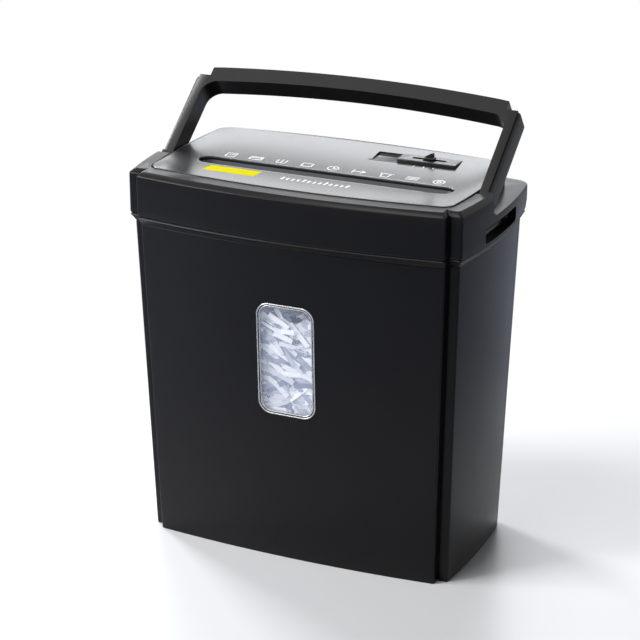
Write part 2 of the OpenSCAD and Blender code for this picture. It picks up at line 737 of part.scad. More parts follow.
// The can reaches over the tub's back wall and is as large as fits, in half millimetres.
motor_over = 1.8;
motor_room = tub_back - wall + motor_over - rear_axis;
motor_keep = disc_r + motor_gap;
motor_r = floor((pow(motor_room, 2) + pow(motor_rise, 2) - pow(motor_keep, 2))
    / (motor_room + motor_keep)) / 2;
motor_y = rear_axis + motor_room - motor_r;
motor_z = shaft_z + motor_rise;

module along_x(y, z, x0, x1) {
    translate([x0, y, z]) rotate([90, 0, 90]) linear_extrude(x1 - x0) children();
}

pressure = 25;     // pressure angle of every gear
addendum = 0.95;
dedendum = 1.25;
backlash = 0.06;   // all per module
function degrees(a) = a * 180 / PI;
function inv_radius(rb, t) = rb * sqrt(1 + pow(t * PI / 180, 2));
function inv_angle(t) = t - atan(t * PI / 180);

// Involute gear outline, tooth 0 at angle turn.
module gear_shape(n, m, turn) {
    rp = n * m / 2;
    rb = rp * cos(pressure);
    ro = rp + addendum * m;
    rr = rp - dedendum * m;
    tmax = degrees(sqrt(pow(ro / rb, 2) - 1));
    half = 90 / n + degrees(tan(pressure)) - pressure - degrees(backlash * m / rp);
    flank = [for (i = [0:3]) let (t = tmax * i / 3) [inv_radius(rb, t), inv_angle(t)]];
    polygon([for (k = [0:n - 1]) let (c = turn + k * 360 / n) each concat(
        [[rr * cos(c - half), rr * sin(c - half)]],
        [for (f = flank) f.x * [cos(c - half + f.y), sin(c - half + f.y)]],
        [for (i = [3:-1:0]) flank[i].x * [cos(c + half - flank[i].y), sin(c + half - flank[i].y)]],
        [[rr * cos(c + half), rr * sin(c + half)]])]);
}

// Turn of gear 2 that puts it in mesh with gear 1, seen along the line of centres.
function mesh_turn(n1, turn1, n2, line) = line + 180 + 180 / n2 - (turn1 - line) * n1 / n2;

// Reduction gear axis, from its two centre distances.
drive_c = drive_m * (drive_n + small_n) / 2;
motor_c = motor_m * (large_n + pinion_n) / 2;
span = norm([motor_y - rear_axis, motor_z - shaft_z]);
along = (drive_c * drive_c - motor_c * motor_c + span * span) / (2 * span);
aside = sqrt(drive_c * drive_c - along * along);
dir = [motor_y - rear_axis, motor_z - shaft_z] / span;
idler_y = rear_axis + along * dir.x + aside * dir.y;
idler_z = shaft_z + along * dir.y - aside * dir.x;
drive_line = atan2(idler_z - shaft_z, idler_y - rear_axis);
motor_line = atan2(motor_z - idler_z, motor_y - idler_y);
small_turn = mesh_turn(drive_n, 0, small_n, drive_line);
pinion_turn = mesh_turn(large_n, 0, pinion_n, motor_line);
layer_1 = frame_out + 1.2;
layer_2 = layer_1 + face_w + 0.8;

module disc_shape() {
    difference() {
        circle(disc_r, $fn = 72);
        circle(shaft_r + fit, $fn = 48);
        for (k = [0:3]) rotate(k * 90) translate([disc_r - 2.6, 0])
            polygon([[0, 0], [4.5, -0.6], [4.5, 5], [2.6, 5.2]]);
    }
}

module cutter_discs(axis, shift) {
    color("#8d9095") for (k = [0:disc_count - 1]) {
        x = -disc_span / 2 + k * disc_pitch + shift;
        along_x(axis, shaft_z, x - disc_t / 2, x + disc_t / 2) rotate(k * 14) disc_shape();
    }
}

module cutter_spacers(axis, shift) {
    half = (disc_pitch - disc_t) / 2 - 0.05;
    color(dark_steel) for (k = [0:disc_count - 2]) {
        x = -disc_span / 2 + (k + 0.5) * disc_pitch + shift;
        along_x(axis, shaft_z, x - half, x + half) difference() {
            circle(spacer_r, $fn = 48);
            circle(shaft_r + fit, $fn = 48);
        }
    }
    color(dark_steel) for (s = [-1, 1]) {
        near = s * (disc_span / 2 + disc_t / 2 + 0.05) + shift;
        far = s * (block_x - 0.4);
        along_x(axis, shaft_z, min(near, far), max(near, far)) difference() {
            circle(shaft_r + 2.6, $fn = 48);
            circle(shaft_r + fit, $fn = 48);
        }
    }
}

module cutter_shaft(axis, left_end, right_end) {
    color(steel) along_x(axis, shaft_z, left_end, right_end) circle(shaft_r, $fn = 48);
}

module front_shaft() { cutter_shaft(front_axis, -frame_out - 2, frame_out + 12); }
module rear_shaft() { cutter_shaft(rear_axis, -layer_2 + 0.4, frame_out + 12); }
module front_cutters() { cutter_discs(front_axis, -disc_pitch / 4); }
module rear_cutters() { cutter_discs(rear_axis, disc_pitch / 4); }
module front_spacers() { cutter_spacers(front_axis, -disc_pitch / 4); }
module rear_spacers() { cutter_spacers(rear_axis, disc_pitch / 4); }

module timing_gear(axis, turn) {
    color("#9b8f6a") along_x(axis, shaft_z, frame_out + 1.2, frame_out + 9.2) difference() {
        gear_shape(timing_n, timing_m, turn);
        circle(shaft_r + fit, $fn = 48);
    }
}

module front_timing_gear() { timing_gear(front_axis, 0); }
module rear_timing_gear() { timing_gear(rear_axis, mesh_turn(timing_n, 0, timing_n, 0)); }

module drive_gear() {
    color(nylon) along_x(rear_axis, shaft_z, -layer_1 - face_w, -layer_1) difference() {
        gear_shape(drive_n, drive_m, 0);
        circle(shaft_r + fit, $fn = 48);
    }
}

axle_r = 3;

module reduction_gear() {
    color(nylon) {
        along_x(idler_y, idler_z, -layer_1 - face_w - 0.8, -layer_1) difference() {
            gear_shape(small_n, drive_m, small_turn);
            circle(axle_r + fit, $fn = 48);
        }
        along_x(idler_y, idler_z, -layer_2 - face_w + 0.6, -layer_2) difference() {
            gear_shape(large_n, motor_m, 0);
            circle(axle_r + fit, $fn = 48);
            for (k = [0:4]) rotate(k * 72) translate([large_n * motor_m / 4 + 1.2, 0]) circle(3.4, $fn = 32);
        }
    }
}

module gear_axle() {
    end = layer_2 + face_w + 0.4;
    color(steel) {
        along_x(idler_y, idler_z, -end - 1.4, -block_x) circle(axle_r, $fn = 48);
        along_x(idler_y, idler_z, -end - 1, -end + 0.2) circle(axle_r + 1.6, $fn = 48);
        along_x(idler_y, idler_z, -layer_1 + 0.2, -frame_out) circle(axle_r + 1.6, $fn = 48);
    }
}

bush_r = shaft_r + 2.5;

module frame_holes() {
    for (a = [front_axis, rear_axis]) translate([a, shaft_z]) circle(bush_r + fit, $fn = 48);
    for (p = rod_spots) translate(p) circle(rod_r + fit, $fn = 32);
}

module block_outline() {
    polygon([[frame_front, tub_floor], [frame_back, tub_floor], [frame_back, shaft_z + 10],
        [rear_axis + 8, frame_top], [rear_axis - 5, frame_top], [rear_axis - 9, frame_step],
        [frame_front, frame_step]]);
}

module side_frame_right() {
    color("#a9adb2") along_x(0, 0, block_x, frame_out) difference() {
        block_outline();
        frame_holes();
    }
}

module side_frame_left() {
    color("#a9adb2") along_x(0, 0, -frame_out, -block_x) difference() {
        union() {
            block_outline();
            polygon([[rear_axis, tub_floor], [idler_y + 12, tub_floor],
                [motor_y + mount_w, motor_z - mount_low], [motor_y + mount_w, motor_z + motor_bolt + 1],
                [motor_y - 8, motor_z + mount_top], [rear_axis, frame_top]]);
        }
        frame_holes();
        translate([motor_y, motor_z]) circle(motor_nose_r + fit, $fn = 48);
        translate([idler_y, idler_z]) circle(axle_r + fit, $fn = 48);
        for (s = [-1, 1]) translate([motor_y, motor_z + s * motor_bolt]) circle(bolt_r + fit, $fn = 32);
    }
}

module tie_rods() {
    color(steel) for (p = rod_spots) along_x(p.x, p.y, -frame_out - 4.4, frame_out + 4.4)
        circle(rod_r, $fn = 32);
}

module rod_nuts() {
    color("#8f9296") for (p = rod_spots, s = [0, 1]) mirror([s, 0, 0])
        along_x(p.x, p.y, frame_out, frame_out + 3.4) difference() {
            circle(rod_r + 2.4, $fn = 6);
            circle(rod_r + fit, $fn = 32);
        }
}

module shaft_bushes() {
    color("#b08d57") for (a = [front_axis, rear_axis], s = [0, 1]) mirror([s, 0, 0])
        along_x(a, shaft_z, block_x - 0.2, frame_out + 0.8) difference() {
            circle(bush_r, $fn = 48);
            circle(shaft_r + fit, $fn = 48);
        }
}

comb_gap = 3.2;    // between the discs and a comb's bar
comb_t = 3;
comb_low = 10;
comb_top = 7;
comb_reach = 12;

// Comb whose fingers reach between the discs and lift the shreds off.
module stripper(axis, side, shift) {
    bar = disc_r + comb_gap;
    finger = disc_pitch - disc_t - 0.8;
    color("#3a3d42") {
        along_x(axis, shaft_z, -block_x + 0.2, block_x - 0.2)
            translate([min(side * bar, side * (bar + comb_t)), -comb_low])
                square([comb_t, comb_low + comb_top]);
        for (k = [0:disc_count - 2]) {
            x = -disc_span / 2 + (k + 0.5) * disc_pitch + shift;
            along_x(axis, shaft_z, x - finger / 2, x + finger / 2) difference() {
                polygon([[side * 3, -comb_reach], [side * (bar + 1), -comb_low],
                    [side * (bar + 1), comb_top], [side * 6, comb_reach]]);
                circle(spacer_r + 0.6, $fn = 48);
            }
        }
    }
}

module stripper_front() { stripper(front_axis, -1, -disc_pitch / 4); }
module stripper_rear() { stripper(rear_axis, 1, disc_pitch / 4); }

// ---- motor ----
motor_nose_r = 6;
motor_bolt = motor_r - 8.5;
mount_w = motor_r - 4.5;            // the left frame's reach round the motor
mount_low = motor_bolt - 3;
mount_top = motor_bolt + 5;
bolt_r = 1.5;
motor_x = -block_x + 0.1;

module motor_can() {
    color("#9a9da1") {
        along_x(motor_y, motor_z, motor_x, motor_x + motor_l) difference() {
            circle(motor_r, $fn = 72);
            circle(motor_r - 1.6, $fn = 72);
        }
        along_x(motor_y, motor_z, motor_x, motor_x + 1.6) difference() {
            circle(motor_r - 1, $fn = 72);
            circle(motor_shaft_r + fit, $fn = 32);
            for (s = [-1, 1]) translate([0, s * motor_bolt]) circle(bolt_r + fit, $fn = 32);
        }
        along_x(motor_y, motor_z, motor_x - frame_t - 0.6, motor_x + 1) difference() {
            circle(motor_nose_r, $fn = 48);
            circle(motor_shaft_r + fit, $fn = 32);
        }
    }
}

module motor_end_cap() {
    end = motor_x + motor_l;
    color("#2b2b2d") difference() {
        union() {
            along_x(motor_y, motor_z, end, end + 3) circle(motor_r, $fn = 72);
            along_x(motor_y, motor_z, end - 4, end + 7) circle(6.5, $fn = 48);
        }
        along_x(motor_y, motor_z, end - 5, end + 5) circle(motor_shaft_r + fit, $fn = 32);
        for (k = [0:5]) translate([0, motor_y, motor_z]) rotate([k * 60, 0, 0]) translate([0, motor_bolt, 0])
            along_x(0, 0, end - 1, end + 4) circle(2.4, $fn = 32);
    }
}

module motor_rotor() {
    end = motor_x + motor_l;
    color("#7c5a35") {
        along_x(motor_y, motor_z, -layer_2 - face_w - 1, end + 4.4) circle(motor_shaft_r, $fn = 32);
        along_x(motor_y, motor_z, motor_x + 10, end - 16) circle(motor_r - 6, $fn = 48);
        along_x(motor_y, motor_z, end - 14, end - 6) circle(7, $fn = 48);
    }
}

module motor_pinion() {
    color(steel) along_x(motor_y, motor_z, -layer_2 - face_w + 0.4, -layer_2 + 0.4) difference() {
        gear_shape(pinion_n, motor_m, pinion_turn);
        circle(motor_shaft_r + fit, $fn = 32);
    }
}

module motor_screws() {
    color(steel) for (s = [-1, 1]) {
        z = motor_z + s * motor_bolt;
        along_x(motor_y, z, -frame_out - 0.1, motor_x + 4) circle(bolt_r, $fn = 32);
        along_x(motor_y, z, -frame_out - 1.1, -frame_out) circle(bolt_r + 1.3, $fn = 32);
    }
}

module thermal_cutout() {
    color("#d8d2c4") translate([motor_x + motor_l / 2, motor_y - 8, motor_z + motor_r - 1.4])
        difference() {
            translate([-6, -3, 0]) cube([12, 6, 3.6]);
            along_x(8, 1.4 - motor_r, -10, 10) circle(motor_r + 0.02, $fn = 72);
        }
}

// ---- electronics ----
board_x = 18;
board_w = 84;
board_y = rear_axis + disc_r + 8;
board_d = tub_back - wall - board_y - 3;
board_t = 1.6;
board_post = 6;
board_z = tub_floor + board_post;

module control_board() {
    color("#1f6b3a") translate([board_x, board_y, board_z]) cube([board_w, board_d, board_t]);
    color("#d8d8d8") for (x = [4, board_w - 4], y = [4, board_d - 4])
        translate([board_x + x, board_y + y, tub_floor]) cylinder(r = 2.6, h = board_post, $fn = 24);
}

module board_capacitor() {
    color("#22364f") translate([board_x + 22, board_y + board_d / 2, board_z + board_t])
        cylinder(r = 7, h = 18, $fn = 48);
}

module board_relay() {
    color("#2c4f9e") translate([board_x + 42, board_y + 5, board_z + board_t]) cube([20, board_d - 10, 15]);
}

// ---- interlock ----
collar_z = seam_z + 1;
collar_t = 2;
guide_z = collar_z + collar_t + plunger_stroke + 6;

module interlock_plunger() {
    color(white) translate([rib_x, plunger_y, 0]) {
        translate([0, 0, bin_h - plunger_tip])
            cylinder(r = plunger_r, h = guide_z - bin_h + plunger_tip - 4.2, $fn = 32);
        translate([0, 0, collar_z]) cylinder(r = plunger_r + 1.4, h = collar_t, $fn = 32);
    }
}

function coil(r, z0, z1, turns, n) = [for (i = [0:n])
    [r * cos(360 * turns * i / n), r * sin(360 * turns * i / n), z0 + (z1 - z0) * i / n]];

// Wire swept along a list of points, six-sided.
module wire(path, r) {
    n = len(path);
    sides = 6;
    loft([for (i = [0:n - 1])
        let (d = path[min(n - 1, i + 1)] - path[max(0, i - 1)], t = d / norm(d),
            side = cross(t, [0, 0, 1]) / norm(cross(t, [0, 0, 1])), up = cross(side, t))
        [for (k = [sides - 1:-1:0]) path[i] + r * (cos(k * 60) * side + sin(k * 60) * up)]]);
}

module plunger_spring() {
    color(steel) translate([rib_x, plunger_y, 0])
        wire(coil(2.7, collar_z + collar_t + 0.6, guide_z - 0.6, 4, 48), 0.4);
}

// Switch whose guide holds the spring and the top of the plunger.
module interlock_switch() {
    color(navy) translate([rib_x, plunger_y, 0]) difference() {
        union() {
            translate([-7, -3.4, guide_z]) cube([14, 6.8, 2.4]);
            for (s = [-1, 1]) translate([s * 6 - 1, -3.4, bin_h + wall])
                cube([2, 6.8, guide_z - bin_h - wall]);
        }
        translate([0, 0, guide_z - 1]) cylinder(r = plunger_r + 0.1, h = 5, $fn = 32);
    }
}

bin_shell();
window_rim();
window_lens();
shredded_paper();
upper_casing();
lower_casing();
top_panel();
throat_liner();
switch_bezel();
mode_knob();
switch_body();
handle_bail();
handle_pins();
side_frame_left();
side_frame_right();
tie_rods();
rod_nuts();
shaft_bushes();
front_shaft();
front_cutters();
front_spacers();
front_timing_gear();
rear_shaft();
rear_cutters();
rear_spacers();
rear_timing_gear();
drive_gear();
stripper_front();
stripper_rear();
reduction_gear();
gear_axle();
motor_can();
motor_end_cap();
motor_rotor();
motor_pinion();
motor_screws();
thermal_cutout();
control_board();
board_capacitor();
board_relay();
paper_lever();
lever_switch();
interlock_plunger();
plunger_spring();
interlock_switch();
cord_gland();
casing_screws();
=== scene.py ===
"""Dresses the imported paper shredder: shells, paper, switch, handle, finishes and a studio."""

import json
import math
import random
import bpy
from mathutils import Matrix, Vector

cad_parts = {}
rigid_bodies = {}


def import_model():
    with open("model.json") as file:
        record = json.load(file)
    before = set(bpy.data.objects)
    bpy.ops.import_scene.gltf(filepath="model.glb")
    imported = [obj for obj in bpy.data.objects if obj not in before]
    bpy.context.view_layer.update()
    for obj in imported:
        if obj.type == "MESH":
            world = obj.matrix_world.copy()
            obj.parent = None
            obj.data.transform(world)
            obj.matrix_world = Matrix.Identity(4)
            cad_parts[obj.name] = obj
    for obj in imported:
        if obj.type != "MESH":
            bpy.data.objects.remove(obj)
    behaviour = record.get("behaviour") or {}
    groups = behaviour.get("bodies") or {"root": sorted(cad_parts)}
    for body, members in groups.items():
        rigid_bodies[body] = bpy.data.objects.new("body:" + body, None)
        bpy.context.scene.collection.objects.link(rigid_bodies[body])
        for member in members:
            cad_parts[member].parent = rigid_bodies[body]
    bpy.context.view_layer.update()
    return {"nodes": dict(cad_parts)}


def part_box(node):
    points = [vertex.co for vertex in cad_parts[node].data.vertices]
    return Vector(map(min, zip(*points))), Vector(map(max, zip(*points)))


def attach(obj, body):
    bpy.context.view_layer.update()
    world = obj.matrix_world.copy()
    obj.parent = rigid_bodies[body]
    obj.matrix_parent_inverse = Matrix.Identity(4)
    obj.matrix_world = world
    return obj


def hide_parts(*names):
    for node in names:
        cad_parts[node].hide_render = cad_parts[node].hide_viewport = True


bl_info = {
    "name": "Paper Shredder",
    "version": (1, 0, 0),
    "blender": (4, 5, 0),
    "location": "View3D > Sidebar > Shredder",
    "description": "Models the visible pieces of a paper shredder round its packed frame",
    "category": "Add Mesh",
}

from collections import namedtuple
from contextlib import contextmanager

import bmesh
import bpy
from mathutils import Vector

for left_over in list(bpy.data.objects):
    bpy.data.objects.remove(left_over)
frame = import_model()

MM = 0.001


def top_of(node):
    """Height of a node's top in millimetres."""
    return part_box(node)[1][2] / MM


def middle_of(node):
    """Middle of a node's box in millimetres."""
    low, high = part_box(node)
    return (Vector(low) + Vector(high)) / 2 / MM


# ---- form of the body, in millimetres ----

Body = namedtuple("Body", "front_x front_y front_bow column_y side_x side_bow back_y back_bow")
HEAD = Body(141.2, -86, 12, -78.5, 153, 6, 88, 10)
BIN_TOP = Body(140, -81.8, 10, -74.7, 149.8, 5, 81, 7)
BIN_BASE = Body(132, -73.8, 7, -65.7, 141.8, 3, 69, 6)

BIN_HEIGHT = top_of("bin_shell")
SEAM_Z = 297
SLOPE, SLOPE_DROP = 9, 3.5
LEDGE_Z = 318.5
SEAT_Z = 332.9
HEAD_TOP = 337.5
CHAMFER = 4.3
WALL = 2.4
BIN_WALL = 2.2
BIN_FLOOR = 2.6
GROOVE_W, GROOVE_DEEP = 1.5, 1.2
POCKET_Y = -21.85
SHUT_GAP = 1.2
FAR = 260

# Boxes are two corners; those of the gland, chute, lever and knob are measured from their place.
LINING = (146.2, -38.2, 297.4), (156.6, 37, 314.2)
SCOOP = (147.8, -36.6, 298.9), (190, 35.4, 312.4)
GLAND_SEAT = (-4.9, 80, -4.9), (4.9, 110, 4.9)
TUB_FRONT, TUB_BACK = -69.6, 62.08
TUB_W, TUB_DEEP, TUB_R = 284.9, 131.68, 12
CHUTE = (-113, -27, -10), (113, 27, 10)

PANEL_X, PANEL_BOW = 139, 3.4
PANEL_FRONT, PANEL_FRONT_BOW, PANEL_FRONT_R = -69.6, 9.6, 12
PANEL_BACK, PANEL_BACK_BOW, PANEL_BACK_R = 69.6, 6.4, 15
PANEL_T = 2.6
DISH = 5.2
BACK_RISE = 1.6
SLOT_Y = -12.3
SLOT_W, SLOT_OPEN = 237, 18
NECK_W, NECK_OPEN = 222, 6
FIELD = (21, 99, 41.6, 59.6)
FIELD_FLOOR = 333.3
THROAT_WALL, NECK_H = 1.8, 12
LEVER_GAP = (-2.5, 1, -7), (2.5, 9, 13)
RIM_R, OPENING_R, FRAME_W = 12, 9.5, 2.5
HEAP_DROP, HEAP_GAP, MOUND = 9, 11.2, 16

KNOB_X, KNOB_Y = 71.6, 50.6
KNOB_WAY = (-17, -4, -8), (17, 4, 8)
GROOVE_SIZE = 31, 4.6, 1.2
SHANK = (-5, -1.9, -10.5), (4.6, 1.9, -5)
CAP = (-5.2, -3.5, -5.8), (5.2, 3.5, -4.1)
FIN = (-4.3, 0), (-3.4, 1.2), (1.2, 4.0), (2.2, 4.4), (3.4, 4.4), (4.0, 3.8), (4.3, 0)
FIN_Y, FIN_DROP = 1.7, 4.4

PIVOT = Vector((0, -12, 328.25))
HANDLE_ANGLE = math.radians(38.3)
ARM_IN, ARM_OUT, ARM_END = 143.2, 153.7, 9.25
REACH, GRIP, GRIP_BOW, BAIL_T = 97, 14.4, 6.8, 18.5
REBATE = (150.7, 3, 6.75), (160, 92, 20)

PRINT_LIFT = 0.36
LABEL_X, LABEL_Y, LABEL_W, LABEL_H = -75, -36.5, 49, 18
TICK_X, TICK_Y, TICK_GAP, TICK_SHORT, TICK_LONG = -26, -41, 5, 4, 6.5
MARK_GAP, MARK_LOW, MARK_HIGH = 9, 35.6, 37.6
FIGURE_X, FIGURE_Y, FIGURE_GAP = -98, 7.5, 24.5
STROKE = 1.15

CAMERA_AT, CAMERA_AIM = (0.7552, -1.6481, 0.8728), (0.0673, -0.1645, 0.2624)
CAMERA_LENS, CAMERA_SENSOR = 124, 36
FLOOR_MIDDLE = (0.12, -0.05, 0)
FADE_FROM, FADE_TO = 0.28, 0.62
# Where the floor's painted shade, seen only in reflections, begins and where it is full.
PAINTED_SHADE_FROM, PAINTED_SHADE_TO = 0.2, 0.5


def between(start, end, share):
    """A body outline part of the way from one to another."""
    return Body(*(a + (b - a) * share for a, b in zip(start, end)))


def inset(body, depth):
    """A body outline moved inwards all round."""
    return body._replace(
        front_x=body.front_x - depth, front_y=body.front_y + depth,
        column_y=body.column_y + depth, side_x=body.side_x - depth, back_y=body.back_y - depth)


def bin_at(height):
    """The bin's outline at a height."""
    return between(BIN_BASE, BIN_TOP, height / BIN_HEIGHT)


def head_at(height):
    """The head's outline at a height: its back slopes in below."""
    share = max(0, 1 - (height - SEAM_Z) / SLOPE)
    return HEAD._replace(back_y=HEAD.back_y - SLOPE_DROP * share)


def arc(centre_x, centre_y, radius, start, end, steps, first=1):
    """Points of an arc, without its first one unless asked for."""
    turns = [math.radians(start + (end - start) * k / steps) for k in range(first, steps + 1)]
    return [(centre_x + radius * math.cos(a), centre_y + radius * math.sin(a)) for a in turns]


def bowed(share):
    """How much of a bow there is at a place, from -1 at one end to 1 at the other."""
    return 1 - share ** 2


def bowed_side(x, bow, low, high, steps):
    """Points up a bowed side, without the first."""
    return [(x + bow * bowed(2 * k / steps - 1), low + (high - low) * k / steps)
            for k in range(1, steps + 1)]


def bowed_back(reach, y, bow, steps):
    """Points along a bowed back to the middle line, without the first."""
    return [(reach * (1 - k / steps), y + bow * bowed(1 - k / steps)) for k in range(1, steps + 1)]


def moved(outline, x, y):
    """An outline moved to another place."""
    return [(x + there[0], y + there[1]) for there in outline]


def mirrored(half):
    """Both sides of an outline that starts and ends on the middle line."""
    return half + [(-x, y) for x, y in reversed(half[1:-1])]


def body_outline(body, front=22, side=14, back=12):
    """Outline of the body: bowed front, a groove, a narrow column, bowed side and back."""
    round_front, round_column, round_back, lip = 1.5, 2.5, 16, 0.5
    share = 1 - round_front / body.front_x
    half = [(share * body.front_x * k / front,
             body.front_y - body.front_bow * bowed(share * k / front)) for k in range(front + 1)]
    end_x, end_y = half[-1]
    half += arc(end_x, end_y + round_front, round_front, -90, 0, 4)
    groove_x, column_x = body.front_x + GROOVE_W, body.side_x - round_column
    half += [(body.front_x, body.column_y + GROOVE_DEEP), (groove_x, body.column_y + GROOVE_DEEP),
             (groove_x, body.column_y + lip), (groove_x + lip, body.column_y),
             (column_x, body.column_y)]
    low, high = body.column_y + round_column, body.back_y - round_back
    half += arc(column_x, low, round_column, -90, 0, 5)
    half += bowed_side(body.side_x, body.side_bow, low, high, side)
    half += arc(body.side_x - round_back, high, round_back, 0, 90, 9)
    return mirrored(half + bowed_back(body.side_x - round_back, body.back_y, body.back_bow, back))


def at_height(outline, height):
    """An outline as a ring of points; height is a number or a function of place."""
    level = height if callable(height) else lambda x, y: height
    return [Vector((x, y, level(x, y))) for x, y in outline]


def body_ring(body, height):
    """Ring of the body's outline at a height."""
    return at_height(body_outline(body), height)


def front_wall(x, height):
    """Y of the bin's front wall."""
    body = bin_at(height)
    return body.front_y - body.front_bow * bowed(x / body.front_x)


def panel_outline(depth=0, front=18, side=14, back=14):
    """The panel's outline moved inwards."""
    px, py, pb = PANEL_X - depth, PANEL_FRONT + depth, PANEL_BACK - depth
    fr, br = PANEL_FRONT_R - depth, PANEL_BACK_R - depth
    half = [(k / front * (px - fr), py - PANEL_FRONT_BOW * bowed(k / front))
            for k in range(front + 1)]
    half += arc(px - fr, py + fr, fr, -90, 0, 8)
    half += bowed_side(px, PANEL_BOW, py + fr, pb - br, side)
    half += arc(px - br, pb - br, br, 0, 90, 8)
    return mirrored(half + bowed_back(px - br, pb, PANEL_BACK_BOW, back))


def slot_match(grow=0, front=18, back=14, end_count=30):
    """Points round the slot, one for each point of the panel's outline."""
    reach, radius = (SLOT_W - SLOT_OPEN) / 2, SLOT_OPEN / 2 + grow
    first = [(k / front * reach, SLOT_Y - radius) for k in range(front + 1)]
    end = arc(reach, SLOT_Y, radius, -90, 90, end_count)
    return mirrored(first + end + bowed_back(reach, SLOT_Y + radius, 0, back))


def panel_ring(share, height, depth=0, grow=0):
    """Ring part of the way from the panel's outline to the slot's."""
    blend = [(a[0] + (b[0] - a[0]) * share, a[1] + (b[1] - a[1]) * share)
             for a, b in zip(panel_outline(depth), slot_match(grow))]
    return at_height(blend, height)


def edge_x(y):
    """Half width of the panel at a depth."""
    v = (y - PANEL_FRONT) / (PANEL_BACK - PANEL_FRONT)
    return PANEL_X + PANEL_BOW * bowed(2 * v - 1)


def edge_y(x, forward):
    """Front or back edge of the panel at a place across."""
    u = min(1, abs(x) / (PANEL_X - (PANEL_FRONT_R if forward else PANEL_BACK_R)))
    if forward:
        return PANEL_FRONT - PANEL_FRONT_BOW * bowed(u)
    return PANEL_BACK + PANEL_BACK_BOW * bowed(u)


def dish_z(x, y):
    """Height of the dished panel."""
    forward = y < SLOT_Y
    u = min(1, abs(x) / edge_x(y))
    v = min(1, (y - SLOT_Y) / (edge_y(x, forward) - SLOT_Y))
    rise = 0 if forward else BACK_RISE * v * v
    return HEAD_TOP - DISH * (1 - u ** 12) * (1 - v * v) + rise


def rim_z(x, y):
    """Height of the panel's rim."""
    return HEAD_TOP + BACK_RISE * max(0, (y - SLOT_Y) / (PANEL_BACK - SLOT_Y)) ** 2


def rounded_outline(width, height, radius, steps=8):
    """Rounded rectangle about the origin."""
    x, y = width / 2 - radius, height / 2 - radius
    outline = []
    for cx, cy, start in ((x, y, 0), (-x, y, 90), (-x, -y, 180), (x, -y, 270)):
        outline += arc(cx, cy, radius, start, start + 90, steps, 0)
    return outline


def stadium(width, height, steps=20):
    """Outline with straight long sides and round ends."""
    reach, radius = (width - height) / 2, height / 2
    return ([(reach, -radius)] + arc(reach, 0, radius, -90, 90, steps)
            + [(-reach, radius)] + arc(-reach, 0, radius, 90, 270, steps))


# ---- modelling helpers ----

def edit_mesh(piece):
    """The mesh being edited, ready for looking things up."""
    mesh = bmesh.from_edit_mesh(piece.data)
    mesh.verts.ensure_lookup_table()
    return mesh


def pick(piece, kind, test):
    """Selects the points or edges that pass a test, and what lies between; returns how many."""
    bpy.ops.mesh.select_mode(type=kind)
    bpy.ops.mesh.select_all(action="DESELECT")
    mesh = edit_mesh(piece)
    found = [part for part in (mesh.edges if kind == "EDGE" else mesh.verts) if test(part)]
    for part in found:
        part.select = True
    mesh.select_flush_mode()
    bmesh.update_edit_mesh(piece.data, loop_triangles=False, destructive=False)
    return len(found)


def deselect():
    """Leaves no object selected."""
    bpy.ops.object.select_all(action="DESELECT")


def apply_placing():
    """Puts the selected objects' places, turns and scales into their meshes."""
    bpy.ops.object.transform_apply(location=True, rotation=True, scale=True)


def activate(piece):
    """Makes one piece the only selected and active one."""
    deselect()
    piece.select_set(True)
    bpy.context.view_layer.objects.active = piece


@contextmanager
def editing(piece):
    """Edit mode for a while, with all of a piece selected."""
    activate(piece)
    bpy.ops.object.mode_set(mode="EDIT")
    bpy.ops.mesh.select_all(action="SELECT")
    yield
    bpy.ops.object.mode_set(mode="OBJECT")


def start_piece(name):
    """Begins an empty piece in edit mode, at the origin."""
    deselect()
    bpy.ops.mesh.primitive_plane_add(size=MM, location=(0, 0, 0))
    piece = bpy.context.object
    piece.name = piece.data.name = name
    bpy.ops.object.mode_set(mode="EDIT")
    bpy.ops.mesh.select_mode(type="VERT")
    bpy.ops.mesh.select_all(action="SELECT")
    bpy.ops.mesh.delete(type="VERT")
    return piece


def draw_ring(piece, points):
    """Draws a closed ring by pulling one point from place to place."""
    first = len(edit_mesh(piece).verts)
    places = [point * MM for point in points]
    bpy.ops.mesh.primitive_plane_add(size=MM, location=places[0])
    bpy.ops.mesh.merge(type="CENTER")
    for here, there in zip(places, places[1:]):
        bpy.ops.mesh.extrude_vertices_move(TRANSFORM_OT_translate={"value": there - here})
    pick(piece, "VERT", lambda point: point.index >= first)
    bpy.ops.mesh.edge_face_add()


def finish_piece(piece, angle=32):
    """Turns the faces outwards, leaves edit mode and smooths the shading."""
    bpy.ops.mesh.select_all(action="SELECT")
    bpy.ops.mesh.normals_make_consistent(inside=False)
    bpy.ops.object.mode_set(mode="OBJECT")
    smooth(piece, angle)
    return piece


def smooth(piece, angle=32):
    """Smooths the shading up to an angle."""
    activate(piece)
    bpy.ops.object.shade_smooth_by_angle(angle=math.radians(angle))


def loft(name, rings, close=False, angle=32):
    """A solid through rings of points; closed on itself, or capped at both ends."""
    piece = start_piece(name)
    count, last = len(rings[0]), len(rings) - 1
    for ring in rings:
        draw_ring(piece, ring)
        bpy.ops.mesh.delete(type="ONLY_FACE")
    for k in range(last + (1 if close else 0)):
        pair = (k, (k + 1) % len(rings))
        pick(piece, "VERT", lambda point: point.index // count in pair)
        bpy.ops.mesh.bridge_edge_loops()
    if not close:
        for k in (0, last):
            pick(piece, "VERT", lambda point: point.index // count == k)
            bpy.ops.mesh.edge_face_add()
    return finish_piece(piece, angle)


def prism(name, points, reach, angle=32):
    """A flat outline pulled out along a direction."""
    piece = start_piece(name)
    draw_ring(piece, points)
    bpy.ops.mesh.extrude_region_move(TRANSFORM_OT_translate={"value": Vector(reach) * MM})
    return finish_piece(piece, angle)


